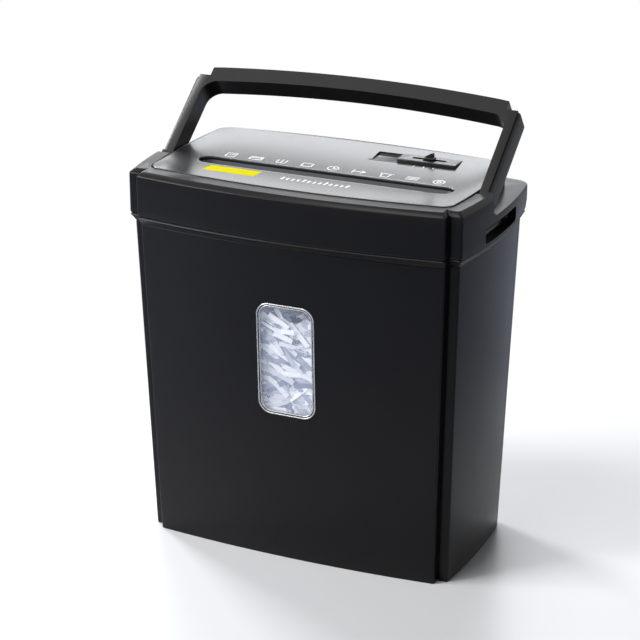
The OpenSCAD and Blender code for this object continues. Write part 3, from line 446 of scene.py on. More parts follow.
def block(name, low, high, edge=0, segments=3, at=(0, 0, 0)):
    """A box between two corners, both measured from a place, with its edges rounded."""
    deselect()
    low, high = (Vector(at) + Vector(low)) * MM, (Vector(at) + Vector(high)) * MM
    bpy.ops.mesh.primitive_cube_add(size=1, location=(low + high) / 2, scale=high - low)
    piece = bpy.context.object
    piece.name = piece.data.name = name
    apply_placing()
    if edge:
        round_edges(piece, edge, segments)
    return piece


def block_pair(name, low, high, *rounding, at=(0, 0, 0)):
    """A box on the right, and its mirror image on the left."""
    ends = [sorted((side * low[0], side * high[0])) for side in (-1, 1)]
    return [block(name, (x0, *low[1:]), (x1, *high[1:]), *rounding, at=at) for x0, x1 in ends]


def add_modifier(piece, kind, settings):
    """Adds one modifier, sets it and applies it."""
    activate(piece)
    bpy.ops.object.modifier_add(type=kind)
    step = piece.modifiers[-1]
    for setting, value in settings.items():
        setattr(step, setting, value)
    bpy.ops.object.modifier_apply(modifier=step.name)


def round_edges(piece, width, segments=3, angle=34):
    """Rounds every edge sharper than an angle."""
    add_modifier(piece, "BEVEL", {
        "width": width * MM, "segments": segments, "limit_method": "ANGLE",
        "angle_limit": math.radians(angle), "miter_outer": "MITER_ARC"})
    smooth(piece, angle)


def round_picked(piece, test, width, segments=3):
    """Rounds the edges whose two ends, in millimetres, pass a test."""
    with editing(piece):
        if pick(piece, "EDGE", lambda edge: test(*(end.co / MM for end in edge.verts))):
            bpy.ops.mesh.bevel(offset=width * MM, segments=segments, affect="EDGES",
                               clamp_overlap=True)


def combine(piece, tools, operation="DIFFERENCE"):
    """Cuts tools out of a piece, joins them to it or keeps what they share."""
    for tool in tools:
        add_modifier(piece, "BOOLEAN", {"operation": operation, "solver": "EXACT", "object": tool})
        bpy.data.objects.remove(tool)


def join(pieces, name):
    """Joins pieces into the first one."""
    deselect()
    for piece in pieces:
        piece.select_set(True)
    bpy.context.view_layer.objects.active = pieces[0]
    bpy.ops.object.join()
    pieces[0].name = pieces[0].data.name = name
    return pieces[0]


def turn(piece, angle, axis, centre):
    """Turns a piece's mesh about a point in edit mode."""
    with editing(piece):
        bpy.ops.transform.rotate(value=-angle, orient_axis=axis, orient_type="GLOBAL",
                                 center_override=Vector(centre) * MM)


def place(piece, body, slot, *nodes):
    """Lets a piece ride on a body, with the finish of a slot, in the stead of CAD nodes."""
    piece.data.materials.clear()
    piece.data.materials.append(finish_of(slot))
    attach(piece, body)
    if nodes:
        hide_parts(*nodes)
    return piece


# ---- finishes ----

class Wire:
    """A node's output; sums and products with it put Math nodes after it."""

    def __init__(self, finish, socket):
        self.finish, self.socket = finish, socket

    def __add__(self, other):
        return self.finish.math("ADD", self, other)

    def __radd__(self, other):
        return self.finish.math("ADD", other, self)

    def __sub__(self, other):
        return self.finish.math("SUBTRACT", self, other)

    def __rsub__(self, other):
        return self.finish.math("SUBTRACT", other, self)

    def __mul__(self, other):
        return self.finish.math("MULTIPLY", self, other)

    def __rmul__(self, other):
        return self.finish.math("MULTIPLY", other, self)


class Finish:
    """A material or world that is being put together."""

    def __init__(self, owner):
        self.owner = owner
        owner.use_nodes = True
        self.tree = owner.node_tree
        self.tree.nodes.clear()

    def node(self, kind, settings=None, inputs=None, output=0):
        """Adds a node, its settings first, then its sockets' values or links."""
        made = self.tree.nodes.new(kind)
        for setting, value in (settings or {}).items():
            setattr(made, setting, value)
        for socket, value in (inputs or {}).items():
            if isinstance(value, Wire):
                self.tree.links.new(value.socket, made.inputs[socket])
            else:
                made.inputs[socket].default_value = value
        return Wire(self, made.outputs[output]) if made.outputs else None

    def math(self, operation, first, second):
        """A sum, product or the like of two values."""
        return self.node("ShaderNodeMath", {"operation": operation}, {0: first, 1: second})

    def limit(self, value, low, high):
        """A value's place in a range, from 0 to 1."""
        return self.node("ShaderNodeMapRange", {"clamp": True},
                         {"Value": value, "From Min": low, "From Max": high})

    def place(self, scale=(1, 1, 1)):
        """Places on the piece, stretched."""
        where = self.node("ShaderNodeTexCoord", output="Object")
        return self.node("ShaderNodeMapping", inputs={"Vector": where, "Scale": scale})

    def noise(self, scale, detail=2.0, stretch=(1, 1, 1), rough=0.5):
        """Cloudy noise."""
        return self.node("ShaderNodeTexNoise", inputs={
            "Vector": self.place(stretch), "Scale": scale, "Detail": detail, "Roughness": rough})

    def cells(self, scale, feature="F1"):
        """Distances in a pattern of cells."""
        return self.node("ShaderNodeTexVoronoi", {"feature": feature},
                         {"Vector": self.place(), "Scale": scale}, "Distance")

    def mix(self, share, first, second):
        """A colour between two."""
        return self.node("ShaderNodeMix", {"data_type": "RGBA"},
                         {0: share, 6: first, 7: second}, 2)

    def bump(self, height, distance):
        """Normals of a relief, as high as a distance in millimetres."""
        return self.node("ShaderNodeBump", inputs={"Height": height, "Distance": distance * MM})

    def surface(self, colour, roughness, normal, others=None):
        """Ends the finish in a Principled shader, with the values of its other sockets."""
        shader = self.node("ShaderNodeBsdfPrincipled", inputs={
            "Base Color": colour, "Roughness": roughness, "Normal": normal, **(others or {})})
        self.node("ShaderNodeOutputMaterial", inputs={"Surface": shader})
        return self.owner


def rgba(colour, gain=1.0):
    """A colour with its alpha, made lighter or darker."""
    return (*(min(1.0, channel * gain) for channel in tuple(colour)[:3]), 1.0)


def moulded(finish, colour, roughness, grain=0.45, depth=0.012, specular=0.5, spread=0.16):
    """Moulded plastic: a fine grain, faint flow marks and slightly uneven sheen."""
    flow = finish.noise(14, 3)
    fine = finish.noise(1000 / grain, 1)
    rub = finish.noise(160, 4, rough=0.6)
    return finish.surface(
        finish.mix(flow, rgba(colour, 1 - spread), rgba(colour, 1 + spread)),
        roughness - 0.05 + flow * 0.05 + rub * 0.05,
        finish.bump(fine, depth), {"Specular IOR Level": specular})


def metal(finish, colour, roughness, stretch=(1, 1, 1), depth=0.01, scale=900, spots=0.1):
    """Metal with fine machining marks and faint stains."""
    marks = finish.noise(scale, 3, stretch)
    stain = finish.noise(45, 4)
    return finish.surface(
        finish.mix(stain, rgba(colour, 1 - spots), rgba(colour, 1 + spots)),
        roughness - 0.08 + marks * 0.1 + stain * 0.08,
        finish.bump(marks, depth), {"Metallic": 1.0})


def window_silver(finish, looks):
    """Polished rim."""
    return metal(finish, looks.silver, 0.26, depth=0.0006, scale=300, spots=0.04)


def window_clear(finish, looks):
    """Clear lens with a little haze."""
    haze = finish.noise(55, 4)
    roughness, alpha = 0.04 + haze * 0.05, 0.08 + haze * 0.05
    return finish.surface((0.55, 0.62, 0.76, 1), roughness,
                          finish.bump(finish.noise(60, 2), 0.02), {"Alpha": alpha})


def paper_depth(finish, looks):
    """Paper deep in the heap, painted in the dark blue-grey of the shade between the shreds."""
    # Painted shade: the heap's body is coloured as white paper lying in shadow, and mottled at
    # random.
    mottle = finish.limit(finish.noise(110, 4), 0.35, 0.65)
    return finish.surface(
        finish.mix(mottle, (0.20, 0.22, 0.29, 1), (0.55, 0.58, 0.66, 1)),
        0.8 + mottle * 0.1, finish.bump(mottle, 1.5), {"Specular IOR Level": 0.1})


def paper_shreds(finish, looks):
    """Loose shreds with bits of print; each strip is painted a random shade from white to a shadow
    blue-grey, and all get a faint painted glow.
    """
    each = finish.node("ShaderNodeNewGeometry", output="Random Per Island")
    print_marks = finish.limit(finish.noise(420, 3, (1, 1, 2.5)), 0.60, 0.68)
    fibre = finish.noise(2600, 3)
    # Painted shade: each strip is darkened at random towards the blue-grey of shadow, though the
    # paper is all white.
    shade = finish.mix(finish.limit(each, 0.1, 0.7), (0.27, 0.31, 0.42, 1), rgba(looks.paper))
    # The emission is a painted glow that brightens the shreds; they are no lamp.
    return finish.surface(
        finish.mix(print_marks * 0.25, shade, (0.35, 0.38, 0.45, 1)),
        0.75 + fibre * 0.15, finish.bump(fibre, 0.02),
        {"Specular IOR Level": 0.2, "Emission Color": shade, "Emission Strength": 0.17})


def board_green(finish, looks):
    """Circuit board with tracks and pads."""
    tracks = finish.limit(finish.cells(170, "DISTANCE_TO_EDGE"), 0.035, 0.06)
    pads = finish.limit(finish.cells(260), 0.22, 0.26)
    green = finish.mix(tracks, (0.02, 0.16, 0.06, 1), (0.008, 0.075, 0.028, 1))
    colour, bare = finish.mix(pads, (0.62, 0.63, 0.60, 1), green), (1 - pads) * 0.8
    return finish.surface(colour, 0.3 + pads * 0.12, finish.bump(tracks, 0.05), {"Metallic": bare})


def rotor_copper(finish, looks):
    """Copper windings."""
    wound = finish.node("ShaderNodeTexWave", {"wave_type": "BANDS", "bands_direction": "X"},
                        {"Vector": finish.place(), "Scale": 420, "Distortion": 1.5}, "Fac")
    return finish.surface(
        finish.mix(wound, (0.34, 0.10, 0.04, 1), (0.78, 0.33, 0.16, 1)),
        0.3 + wound * 0.1, finish.bump(wound, 0.15), {"Metallic": 0.9})


def chosen_plastics(looks):
    """Plastics whose colour is set in the sidebar."""
    return {
        "black_casing": (looks.casing, looks.casing_roughness, 0.5, 0.004, 0.15),
        "black_panel": (looks.panel, looks.panel_roughness, 0.7, 0.0008, 0.5, 0.1),
        "handle_black": (looks.handle, 0.32, 0.5, 0.006, 0.28),
        "throat_grey": (looks.throat, 0.42, 0.5, 0.015),
        "label_yellow": (looks.label, 0.75, 0.8, 0.01, 0.02, 0.05)}


PLAIN_PLASTICS = {
    "knob_black": ((0.009, 0.009, 0.010), 0.24, 0.4, 0.008),
    "print_white": ((0.93, 0.94, 0.95), 0.5, 0.6, 0.004, 0.3, 0.02),
    "gear_nylon": ((0.74, 0.71, 0.62), 0.42), "comb_grey": ((0.10, 0.10, 0.11), 0.5),
    "motor_black": ((0.02, 0.02, 0.022), 0.45), "capacitor_blue": ((0.02, 0.08, 0.34), 0.3),
    "relay_blue": ((0.02, 0.14, 0.42), 0.38), "cutout_cream": ((0.70, 0.64, 0.48), 0.5),
    "switch_navy": ((0.012, 0.02, 0.07), 0.4), "lever_white": ((0.78, 0.78, 0.76), 0.4)}
METALS = {
    "frame_steel": ((0.58, 0.60, 0.62), 0.42, (1, 0.08, 1)),
    "shaft_steel": ((0.62, 0.63, 0.64), 0.25, (0.1, 1, 1)),
    "motor_steel": ((0.55, 0.57, 0.58), 0.35, (0.06, 1, 1)),
    "cutter_steel": ((0.50, 0.51, 0.53), 0.3), "fixing_steel": ((0.60, 0.60, 0.58), 0.32),
    "bronze": ((0.60, 0.38, 0.18), 0.36), "gear_steel": ((0.42, 0.42, 0.43), 0.38)}
SPECIAL = {maker.__name__: maker for maker in (
    window_silver, window_clear, paper_shreds, paper_depth, board_green, rotor_copper)}


def finish_of(name):
    """The finished material of a name, made when it is first wanted."""
    made = bpy.data.materials.get("finish_" + name)
    if made:
        return made
    looks = bpy.context.scene.shredder_looks
    plastics = {**PLAIN_PLASTICS, **chosen_plastics(looks)}
    finish = Finish(bpy.data.materials.new("finish_" + name))
    if name in SPECIAL:
        return SPECIAL[name](finish, looks)
    if name in plastics:
        return moulded(finish, *plastics[name])
    return metal(finish, *METALS[name])


# ---- sizes and looks ----

def size(name, description, default):
    """A length, its default in millimetres."""
    return bpy.props.FloatProperty(name=name, description=description, default=default * MM,
                                   min=0, unit="LENGTH")


def shade(name, description, default):
    """A colour."""
    return bpy.props.FloatVectorProperty(name=name, description=description, default=default,
                                         size=3, min=0, max=1, subtype="COLOR")


class ShredderSizes(bpy.types.PropertyGroup):
    """Sizes that the pieces are modelled from."""
    shell_edge: size("Shell edge", "Rounding of the shells' lower and upper edges", 0.9)
    handle_edge: size("Handle edge", "Rounding of the handle's long edges", 1.5)
    switch_edge: size("Switch edge", "Rounding of the switch plate", 0.7)
    strip_width: size("Strip width", "Width of a shred of paper", 4.6)
    strip_length: size("Strip length", "Length of a shred of paper", 36)
    window_strips: bpy.props.IntProperty(
        name="Window shreds", description="Shreds lying behind the window", default=330, min=0)
    top_strips: bpy.props.IntProperty(
        name="Top shreds", description="Shreds lying on top of the heap", default=420, min=0)


class ShredderLooks(bpy.types.PropertyGroup):
    """Colours and sheens of the finishes."""
    casing: shade("Casing", "Colour of the bin and the casings", (0.0055, 0.0053, 0.0063))
    casing_roughness: bpy.props.FloatProperty(
        name="Casing roughness", description="Roughness of the casings", default=0.3,
        subtype="FACTOR")
    panel: shade("Panel", "Colour of the top panel", (0.012, 0.012, 0.013))
    panel_roughness: bpy.props.FloatProperty(
        name="Panel roughness", description="Roughness of the top panel", default=0.25,
        subtype="FACTOR")
    handle: shade("Handle", "Colour of the handle", (0.0045, 0.0045, 0.0045))
    throat: shade("Throat", "Colour of the throat", (0.045, 0.046, 0.050))
    silver: shade("Rim", "Colour of the window's rim", (0.50, 0.51, 0.53))
    paper: shade("Paper", "Colour of the shreds", (0.90, 0.91, 0.95))
    label: shade("Label", "Colour of the blank label", (0.70, 0.63, 0.004))


# ---- pieces ----

def make_bin(sizes):
    """Tapered shell with an opening for the window."""
    edge = sizes.shell_edge / MM
    levels = [0.4 * BIN_HEIGHT * k / 4 for k in range(1, 5)]
    levels += [0.5 * BIN_HEIGHT + 0.5 * BIN_HEIGHT * k / 6 for k in range(0, 6)]
    rings = [body_ring(inset(BIN_BASE, edge), 0),
             body_ring(inset(BIN_BASE, edge * 0.3), edge * 0.3)]
    rings += [body_ring(bin_at(z), z) for z in [edge] + levels + [BIN_HEIGHT - 0.5]]
    rings += [body_ring(inset(BIN_TOP, 0.4), BIN_HEIGHT),
              body_ring(inset(BIN_TOP, BIN_WALL), BIN_HEIGHT - 0.1),
              body_ring(inset(bin_at(BIN_FLOOR), BIN_WALL), BIN_FLOOR)]
    shell = loft("bin_body", rings)
    wide, tall, middle_z = window_size()
    hole = rounded_outline(wide - 2 * FRAME_W, tall - 2 * FRAME_W, OPENING_R)
    hole = [Vector((x, -FAR / 2, middle_z + y)) for x, y in hole]
    combine(shell, [prism("opening", hole, (0, 80, 0))])
    smooth(shell)
    place(shell, "bin", "black_casing", "bin_shell")


def window_size():
    """Width, height and middle height of the window."""
    low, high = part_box("window_rim")
    return (high[0] - low[0]) / MM, (high[2] - low[2]) / MM, middle_of("window_rim").z


def window_ring(depth, proud):
    """Ring round the window: inwards from its edge, and out from the wall."""
    wide, tall, middle = window_size()
    return [Vector((x, front_wall(x, middle + y) - proud, middle + y))
            for x, y in rounded_outline(wide - 2 * depth, tall - 2 * depth, RIM_R - depth, 10)]


def make_window():
    """Double silver rim and the clear lens in it; each ring's depth, then how proud it stands."""
    profile = [(0, -0.6), (0, 0.3), (0.2, 0.75), (0.6, 1.05), (1.0, 1.0), (1.3, 0.7), (1.42, 0.1),
               (1.5, -0.9), (2.05, -0.9), (2.12, 0.2), (2.4, 0.5), (2.8, 0.5), (3.1, 0.2),
               (3.2, -1.9), (1.9, -1.95), (1.9, -1.2)]
    rim = loft("window_frame", [window_ring(*ring) for ring in profile], True, 50)
    place(rim, "bin", "window_silver", "window_rim")
    profile = [(3.45, -1.5), (3.45, -0.5), (3.8, -0.2), (5, -0.15), (8, -0.15), (11, -0.15)]
    lens = loft("window_pane", [window_ring(*ring) for ring in profile])
    place(lens, "bin", "window_clear", "window_lens")


def make_strip(sizes):
    """One curled shred of paper, lying along X."""
    deselect()
    bpy.ops.mesh.primitive_grid_add(x_subdivisions=8, y_subdivisions=1, size=1, location=(0, 0, 0))
    strip = bpy.context.object
    strip.scale = (sizes.strip_length, sizes.strip_width, 1)
    apply_placing()
    for method, axis, angle in (("BEND", "Y", 22), ("TWIST", "X", 20)):
        add_modifier(strip, "SIMPLE_DEFORM", {"deform_method": method, "deform_axis": axis,
                                              "angle": math.radians(angle)})
    add_modifier(strip, "SOLIDIFY", {"thickness": 0.22 * MM, "offset": 0})
    return strip


def heap_top(x, y):
    """Height of the heap's mound."""
    spread = min(1, (x / 132) ** 2 + ((y + 4) / 66) ** 2)
    return top_of("shredded_paper") - 5 + MOUND * (1 - spread)


def make_paper(sizes):
    """A heap of shreds: a crowned body, with loose strips behind the window and on top."""
    top = top_of("shredded_paper") - HEAP_DROP
    rings = [body_ring(inset(bin_at(z), HEAP_GAP), z)
             for z in (BIN_FLOOR + 0.1, 60, 120, 170, top - 12)]
    for share in (0.94, 0.75, 0.5, 0.22):
        outline = [(x * share, y * share) for x, y in body_outline(inset(bin_at(top), HEAP_GAP))]
        rings.append(at_height(outline, lambda x, y: heap_top(x, y) - 3))
    heap = loft("paper_heap", rings, angle=80)
    place(heap, "bin", "paper_shreds", "shredded_paper")
    # The heap's body takes the painted shade finish: white paper coloured as if in shadow.
    heap.data.materials[0] = finish_of("paper_depth")

    chance = random.Random(11)
    strip = make_strip(sizes)
    strips = []

    def scatter(where, turned, stretch):
        """Lays a copy of the strip at a place."""
        copy = strip.copy()
        copy.data = strip.data.copy()
        bpy.context.collection.objects.link(copy)
        copy.location = Vector(where) * MM
        copy.rotation_euler = turned
        copy.scale = (stretch, 1, 1)
        strips.append(copy)

    low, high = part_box("window_rim")
    for _ in range(sizes.window_strips):
        x = chance.uniform(low[0] / MM - 12, high[0] / MM + 12)
        z = chance.uniform(low[2] / MM - 8, top + 16)
        behind = BIN_WALL + 2.4 + 8 * chance.random() ** 1.4
        lean = chance.choice((0.6, 0.5, 0.75, -0.15, -0.3, -0.45, 0.1)) + chance.gauss(0, 0.2)
        scatter((x, front_wall(x, z) + behind, z),
                (math.pi / 2 + chance.gauss(0, 0.22), lean, chance.gauss(0, 0.07)),
                chance.uniform(0.45, 1.15))
    for _ in range(sizes.top_strips):
        x, y = chance.uniform(-118, 118), chance.uniform(-54, 44)
        scatter((x, y, heap_top(x, y) + chance.uniform(-4, 2)),
                (chance.gauss(0, 0.3), chance.gauss(0, 0.3), chance.uniform(0, math.pi)),
                chance.uniform(0.5, 1.2))
    bpy.data.objects.remove(strip)
    shreds = join(strips, "paper_strips")
    activate(shreds)
    apply_placing()
    smooth(shreds, 60)
    place(shreds, "bin", "paper_shreds")


def make_upper_casing(sizes):
    """Upper casing: chamfered rim, ledge behind it, crown, hand recesses and panel seat."""
    edge = sizes.shell_edge / MM
    rings = [body_ring(inset(head_at(SEAM_Z), depth), SEAM_Z + rise)
             for depth, rise in ((edge + 0.5, 0), (edge * 0.8, 0.3), (edge * 0.2, 1.1))]
    rings += [body_ring(head_at(z), z) for z in (
        SEAM_Z + 2.2, SEAM_Z + SLOPE - 0.5, SEAM_Z + SLOPE + 1, LEDGE_Z - 6, LEDGE_Z + 6,
        HEAD_TOP - CHAMFER - 0.6)]
    rings += [body_ring(inset(HEAD, depth), HEAD_TOP - CHAMFER + rise)
              for depth, rise in ((0.12, -0.1), (0.5, 0.5), (3.7, 3.65), (4.2, 3.9), (4.9, 3.6))]
    casing = loft("head_casing", rings)

    pocket = block("pocket", (-FAR, POCKET_Y, LEDGE_Z), (FAR, FAR, LEDGE_Z + 90))
    combine(pocket, [prism("crown", at_height(panel_outline(0.3), LEDGE_Z - 9), (0, 0, 120))])
    combine(casing, [pocket])

    def outer_ledge(a, b):
        """True for the outer edge of the ledge, but not for its step or the foot of the crown."""
        return (all(abs(end.z - LEDGE_Z) < 0.01 for end in (a, b))
                and all(end.y >= 60 or abs(end.x) / edge_x(end.y) > 1.03 for end in (a, b))
                and any(abs(end.y - POCKET_Y) > 0.2 for end in (a, b)))
    round_picked(casing, outer_ledge, 0.8, 3)

    hollow = loft("hollow", [body_ring(inset(head_at(z), WALL), z if z > SEAM_Z else z - 4)
                             for z in (SEAM_Z, SEAM_Z + SLOPE, LEDGE_Z - WALL)])
    front_hollow = loft("front_hollow", [body_ring(inset(HEAD, WALL), z)
                                         for z in (LEDGE_Z - 8, SEAT_Z - WALL)])
    front_half = block("front_half", (-FAR, -FAR, SEAM_Z), (FAR, POCKET_Y - WALL, HEAD_TOP))
    combine(front_hollow, [front_half], "INTERSECT")
    inside = prism("inside", at_height(panel_outline(0.3 + WALL), SEAM_Z - 4), (0, 0, 60))
    seat = prism("seat", at_height(panel_outline(-SHUT_GAP), SEAT_Z), (0, 0, 20))
    combine(casing, [hollow, front_hollow, inside, seat])

    for lining, scoop in zip(block_pair("lining", *LINING), block_pair("scoop", *SCOOP, 3.2, 5)):
        combine(casing, [lining], "UNION")
        combine(casing, [scoop])
    gland = middle_of("cord_gland")
    combine(casing, [block("gland_seat", *GLAND_SEAT, at=(gland.x, 0, gland.z))])
    smooth(casing)
    place(casing, "head", "black_casing", "upper_casing")


def make_lower_casing():
    """Skirt that tapers down to the bin, with the tub below it."""
    seam = head_at(SEAM_Z)
    rings = [(inset(BIN_TOP, 0.3), BIN_HEIGHT + 0.05), (BIN_TOP, BIN_HEIGHT + 0.5),
             (between(BIN_TOP, seam, 0.5), (BIN_HEIGHT + SEAM_Z) / 2),
             (inset(seam, 0.15), SEAM_Z - 1.3), (inset(seam, 0.3), SEAM_Z - 0.9),
             (inset(seam, 1.2), SEAM_Z), (inset(seam, WALL), SEAM_Z - 0.1),
             (inset(BIN_TOP, WALL), BIN_HEIGHT + WALL)]
    skirt = loft("head_skirt", [body_ring(*ring) for ring in rings])
    tub_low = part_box("lower_casing")[0][2] / MM
    middle_y = (TUB_BACK + TUB_FRONT) / 2

    def tub(depth, low, high):
        """The tub's outline moved inwards, between two heights."""
        outline = rounded_outline(TUB_W - 2 * depth, TUB_DEEP - 2 * depth, TUB_R - depth)
        return prism("tub", at_height(moved(outline, 0, middle_y), low), (0, 0, high - low))
    combine(skirt, [tub(0, tub_low, BIN_HEIGHT + 1)], "UNION")
    chute = block("chute", *CHUTE, at=(0, SLOT_Y, tub_low))
    combine(skirt, [tub(WALL, tub_low + WALL, SEAM_Z + 4), chute])
    smooth(skirt)
    place(skirt, "head", "black_casing", "lower_casing")


def make_panel():
    """Dished panel with a rolled rim, a slot with a soft lip and the recess of the switch."""
    def under(x, y):
        """Height of the panel's lower face."""
        return dish_z(x, y) - PANEL_T
    rings = [panel_ring(0, SEAT_Z), panel_ring(0, lambda x, y: rim_z(x, y) - 0.7),
             panel_ring(0, lambda x, y: rim_z(x, y) - 0.2, depth=0.15),
             panel_ring(0, rim_z, depth=0.5)]
    rings += [panel_ring(share, dish_z, depth=1.0, grow=1.1)
              for share in (0.01, 0.025, 0.045, 0.07, 0.1, 0.14, 0.19, 0.25, 0.32, 0.4, 0.48, 0.56,
                            0.64, 0.72, 0.8, 0.88, 0.95, 1)]
    rings += [panel_ring(1, lambda x, y, drop=drop: dish_z(x, y) - drop, grow=grow)
              for drop, grow in ((0.12, 0.55), (0.45, 0.15), (1.0, 0))]
    rings += [panel_ring(share, under) for share in (1, 0.7, 0.4, 0.15)]
    rings += [panel_ring(0.06, SEAT_Z)]
    panel = loft("dished_panel", rings, True)
    x0, x1, y0, y1 = FIELD
    tray = block("tray", (x0 - 2, y0 - 2, FIELD_FLOOR - 2), (x1 + 2, y1 + 2, HEAD_TOP - 2.6))
    combine(panel, [tray], "UNION")
    plate_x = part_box("switch_bezel")[0][0] / MM
    recess = block("recess", (plate_x - 0.2, y0, FIELD_FLOOR), (x1, y1, HEAD_TOP + 20))
    shallow = block("shallow", (x0, y0, FIELD_FLOOR + 1.0), (plate_x, y1, HEAD_TOP + 20), 0.6)
    combine(panel, [shallow])
    pass_through = block("pass_through", *KNOB_WAY, at=(KNOB_X, KNOB_Y, FIELD_FLOOR))
    combine(panel, [recess, pass_through])
    smooth(panel, 25)
    return place(panel, "head", "black_panel", "top_panel")


def make_throat():
    """Throat: a narrow neck that flares out to the slot."""
    low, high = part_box("throat_liner")
    bottom, top = low[2] / MM, high[2] / MM
    neck_z = bottom + NECK_H
    flare = [(neck_z, 0), (neck_z + 4, 0.12), (neck_z + 10, 0.45), (top - 3, 0.86), (top, 1)]

    def ring(share, grow, height):
        """Ring part of the way from the neck to the slot, grown by the wall on the outside."""
        outline = stadium(NECK_W + (SLOT_W - NECK_W) * share + 2 * grow,
                          NECK_OPEN + (SLOT_OPEN - NECK_OPEN) * share + 2 * grow)
        return at_height(moved(outline, 0, SLOT_Y), height)
    rings = [ring(0, THROAT_WALL, bottom)] + [ring(share, THROAT_WALL, z) for z, share in flare]
    rings += [ring(share, 0, z) for z, share in reversed(flare)] + [ring(0, 0, bottom)]
    throat = loft("throat", rings, True)
    foot = (0, SLOT_Y, bottom)
    ear_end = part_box("lever_switch")[0][1] / MM - SLOT_Y
    combine(throat, block_pair("ear", (4, 3, 5.5), (6, ear_end, 15.5), at=foot), "UNION")
    combine(throat, [block("lever_gap", *LEVER_GAP, at=foot)])
    smooth(throat)
    place(throat, "head", "throat_grey", "throat_liner")


def make_switch(sizes):
    """Raised switch plate with its slot, and the sliding knob with a wedge fin."""
    low, high = (Vector(corner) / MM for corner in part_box("switch_bezel"))
    plate = block("switch_plate", low, high, sizes.switch_edge / MM, 4)
    groove = moved(rounded_outline(*GROOVE_SIZE, 4), KNOB_X, KNOB_Y)
    combine(plate, [prism("groove", at_height(groove, low.z - 5), (0, 0, 20))])
    round_edges(plate, 0.25, 2, 50)
    smooth(plate, 30)
    place(plate, "head", "black_panel", "switch_bezel")

    knob_top = Vector((KNOB_X, KNOB_Y, top_of("mode_knob")))
    shank = block("slide_knob", *SHANK, at=knob_top)
    cap = block("cap", *CAP, 0.5, at=knob_top)
    fin = prism("fin", [knob_top + Vector((x, -FIN_Y, z - FIN_DROP)) for x, z in FIN],
                (0, 2 * FIN_Y, 0))
    round_edges(fin, 0.35, 3, 60)
    combine(shank, [cap, fin], "UNION")
    smooth(shank)
    place(shank, "knob", "knob_black", "mode_knob")


def handle_outline():
    """Outline of the handle lying flat, pivot at the origin, reaching along +Y."""
    notch, notch_r, shoulder, shoulder_r, inner = 140.4, 1.2, 9, 4, 14
    inside_y, corner_y, corner_x = REACH - GRIP, REACH - GRIP - inner, ARM_IN - inner
    half = [(notch * k / 16, REACH + GRIP_BOW * bowed(k / 16)) for k in range(16)]
    half += arc(notch - notch_r, REACH - notch_r, notch_r, 80, 0, 3)
    half += [(notch, REACH - shoulder + 0.8)]
    half += arc(notch + 0.8, REACH - shoulder + 0.8, 0.8, 180, 270, 3)
    half += [(ARM_OUT - shoulder_r, REACH - shoulder)]
    half += arc(ARM_OUT - shoulder_r, REACH - shoulder - shoulder_r, shoulder_r, 90, 0, 6)
    half += [(ARM_OUT, -ARM_END)]
    inside = [(ARM_IN, -ARM_END), (ARM_IN, corner_y)] + arc(corner_x, corner_y, inner, 0, 90, 8)
    inside += bowed_back(corner_x, inside_y, GRIP_BOW, 14)
    left = [(-x, y) for x, y in reversed(half[1:])]
    left_inside = [(-x, y) for x, y in reversed(inside[:-1])]
    return half + inside + left_inside + left


def make_handle(sizes):
    """Fold-back handle: round ends, a rebate down each arm and softened edges."""
    bail = prism("carry_handle", [PIVOT + Vector((x, y, -BAIL_T / 2)) for x, y in handle_outline()],
                 (0, 0, BAIL_T))
    low_y = PIVOT.y - ARM_END
    round_picked(bail, lambda a, b: max(abs(a.y - low_y), abs(b.y - low_y), abs(a.z - b.z)) < 0.01,
                 ARM_END - 0.01, 14)
    combine(bail, block_pair("rebate", *REBATE, at=PIVOT))
    round_edges(bail, sizes.handle_edge / MM, 3, 40)
    turn(bail, HANDLE_ANGLE, "X", PIVOT)
    place(bail, "handle", "handle_black", "handle_bail")


def bar(start, end, width):
    """One printed stroke between two places."""
    a, b = Vector((*start, 0)), Vector((*end, 0))
    along = b - a
    deselect()
    bpy.ops.mesh.primitive_plane_add(size=1, location=(a + b) / 2 * MM + Vector((0, 0, PRINT_LIFT)),
                                     rotation=(0, 0, math.atan2(along.y, along.x)))
    stroke = bpy.context.object
    stroke.scale = ((along.length + width) * MM, width * MM, 1)
    apply_placing()
    with editing(stroke):
        bpy.ops.mesh.subdivide(number_cuts=2)
    return stroke


def hoop(centre, radius, width):
    """One printed circle."""
    deselect()
    bpy.ops.mesh.primitive_circle_add(vertices=28, radius=radius * MM, fill_type="NGON",
                                      location=(centre[0] * MM, centre[1] * MM, PRINT_LIFT))
    stroke = bpy.context.object
    apply_placing()
    with editing(stroke):
        bpy.ops.mesh.inset(thickness=width * MM)
        bpy.ops.mesh.delete(type="FACE")
    return stroke


def lay_on_panel(print_piece, panel, name, slot):
    """Drops a printed sheet on the panel and gives it a little thickness."""
    add_modifier(print_piece, "SHRINKWRAP", {
        "wrap_method": "PROJECT", "target": panel, "offset": 0.06 * MM, "use_project_z": True,
        "use_negative_direction": True, "use_positive_direction": False})
    add_modifier(print_piece, "SOLIDIFY", {"thickness": 0.1 * MM, "offset": -1})
    print_piece.name = print_piece.data.name = name
    print_piece.data.materials.clear()
    print_piece.data.materials.append(finish_of(slot))
    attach(print_piece, "head")


def sheet_lines(x, y, *more):
    """A rectangle's four strokes about a figure's middle, and more strokes."""
    return [((-x, -y), (x, -y)), ((-x, y), (x, y)), ((-x, -y), (-x, y)), ((x, -y), (x, y)), *more]


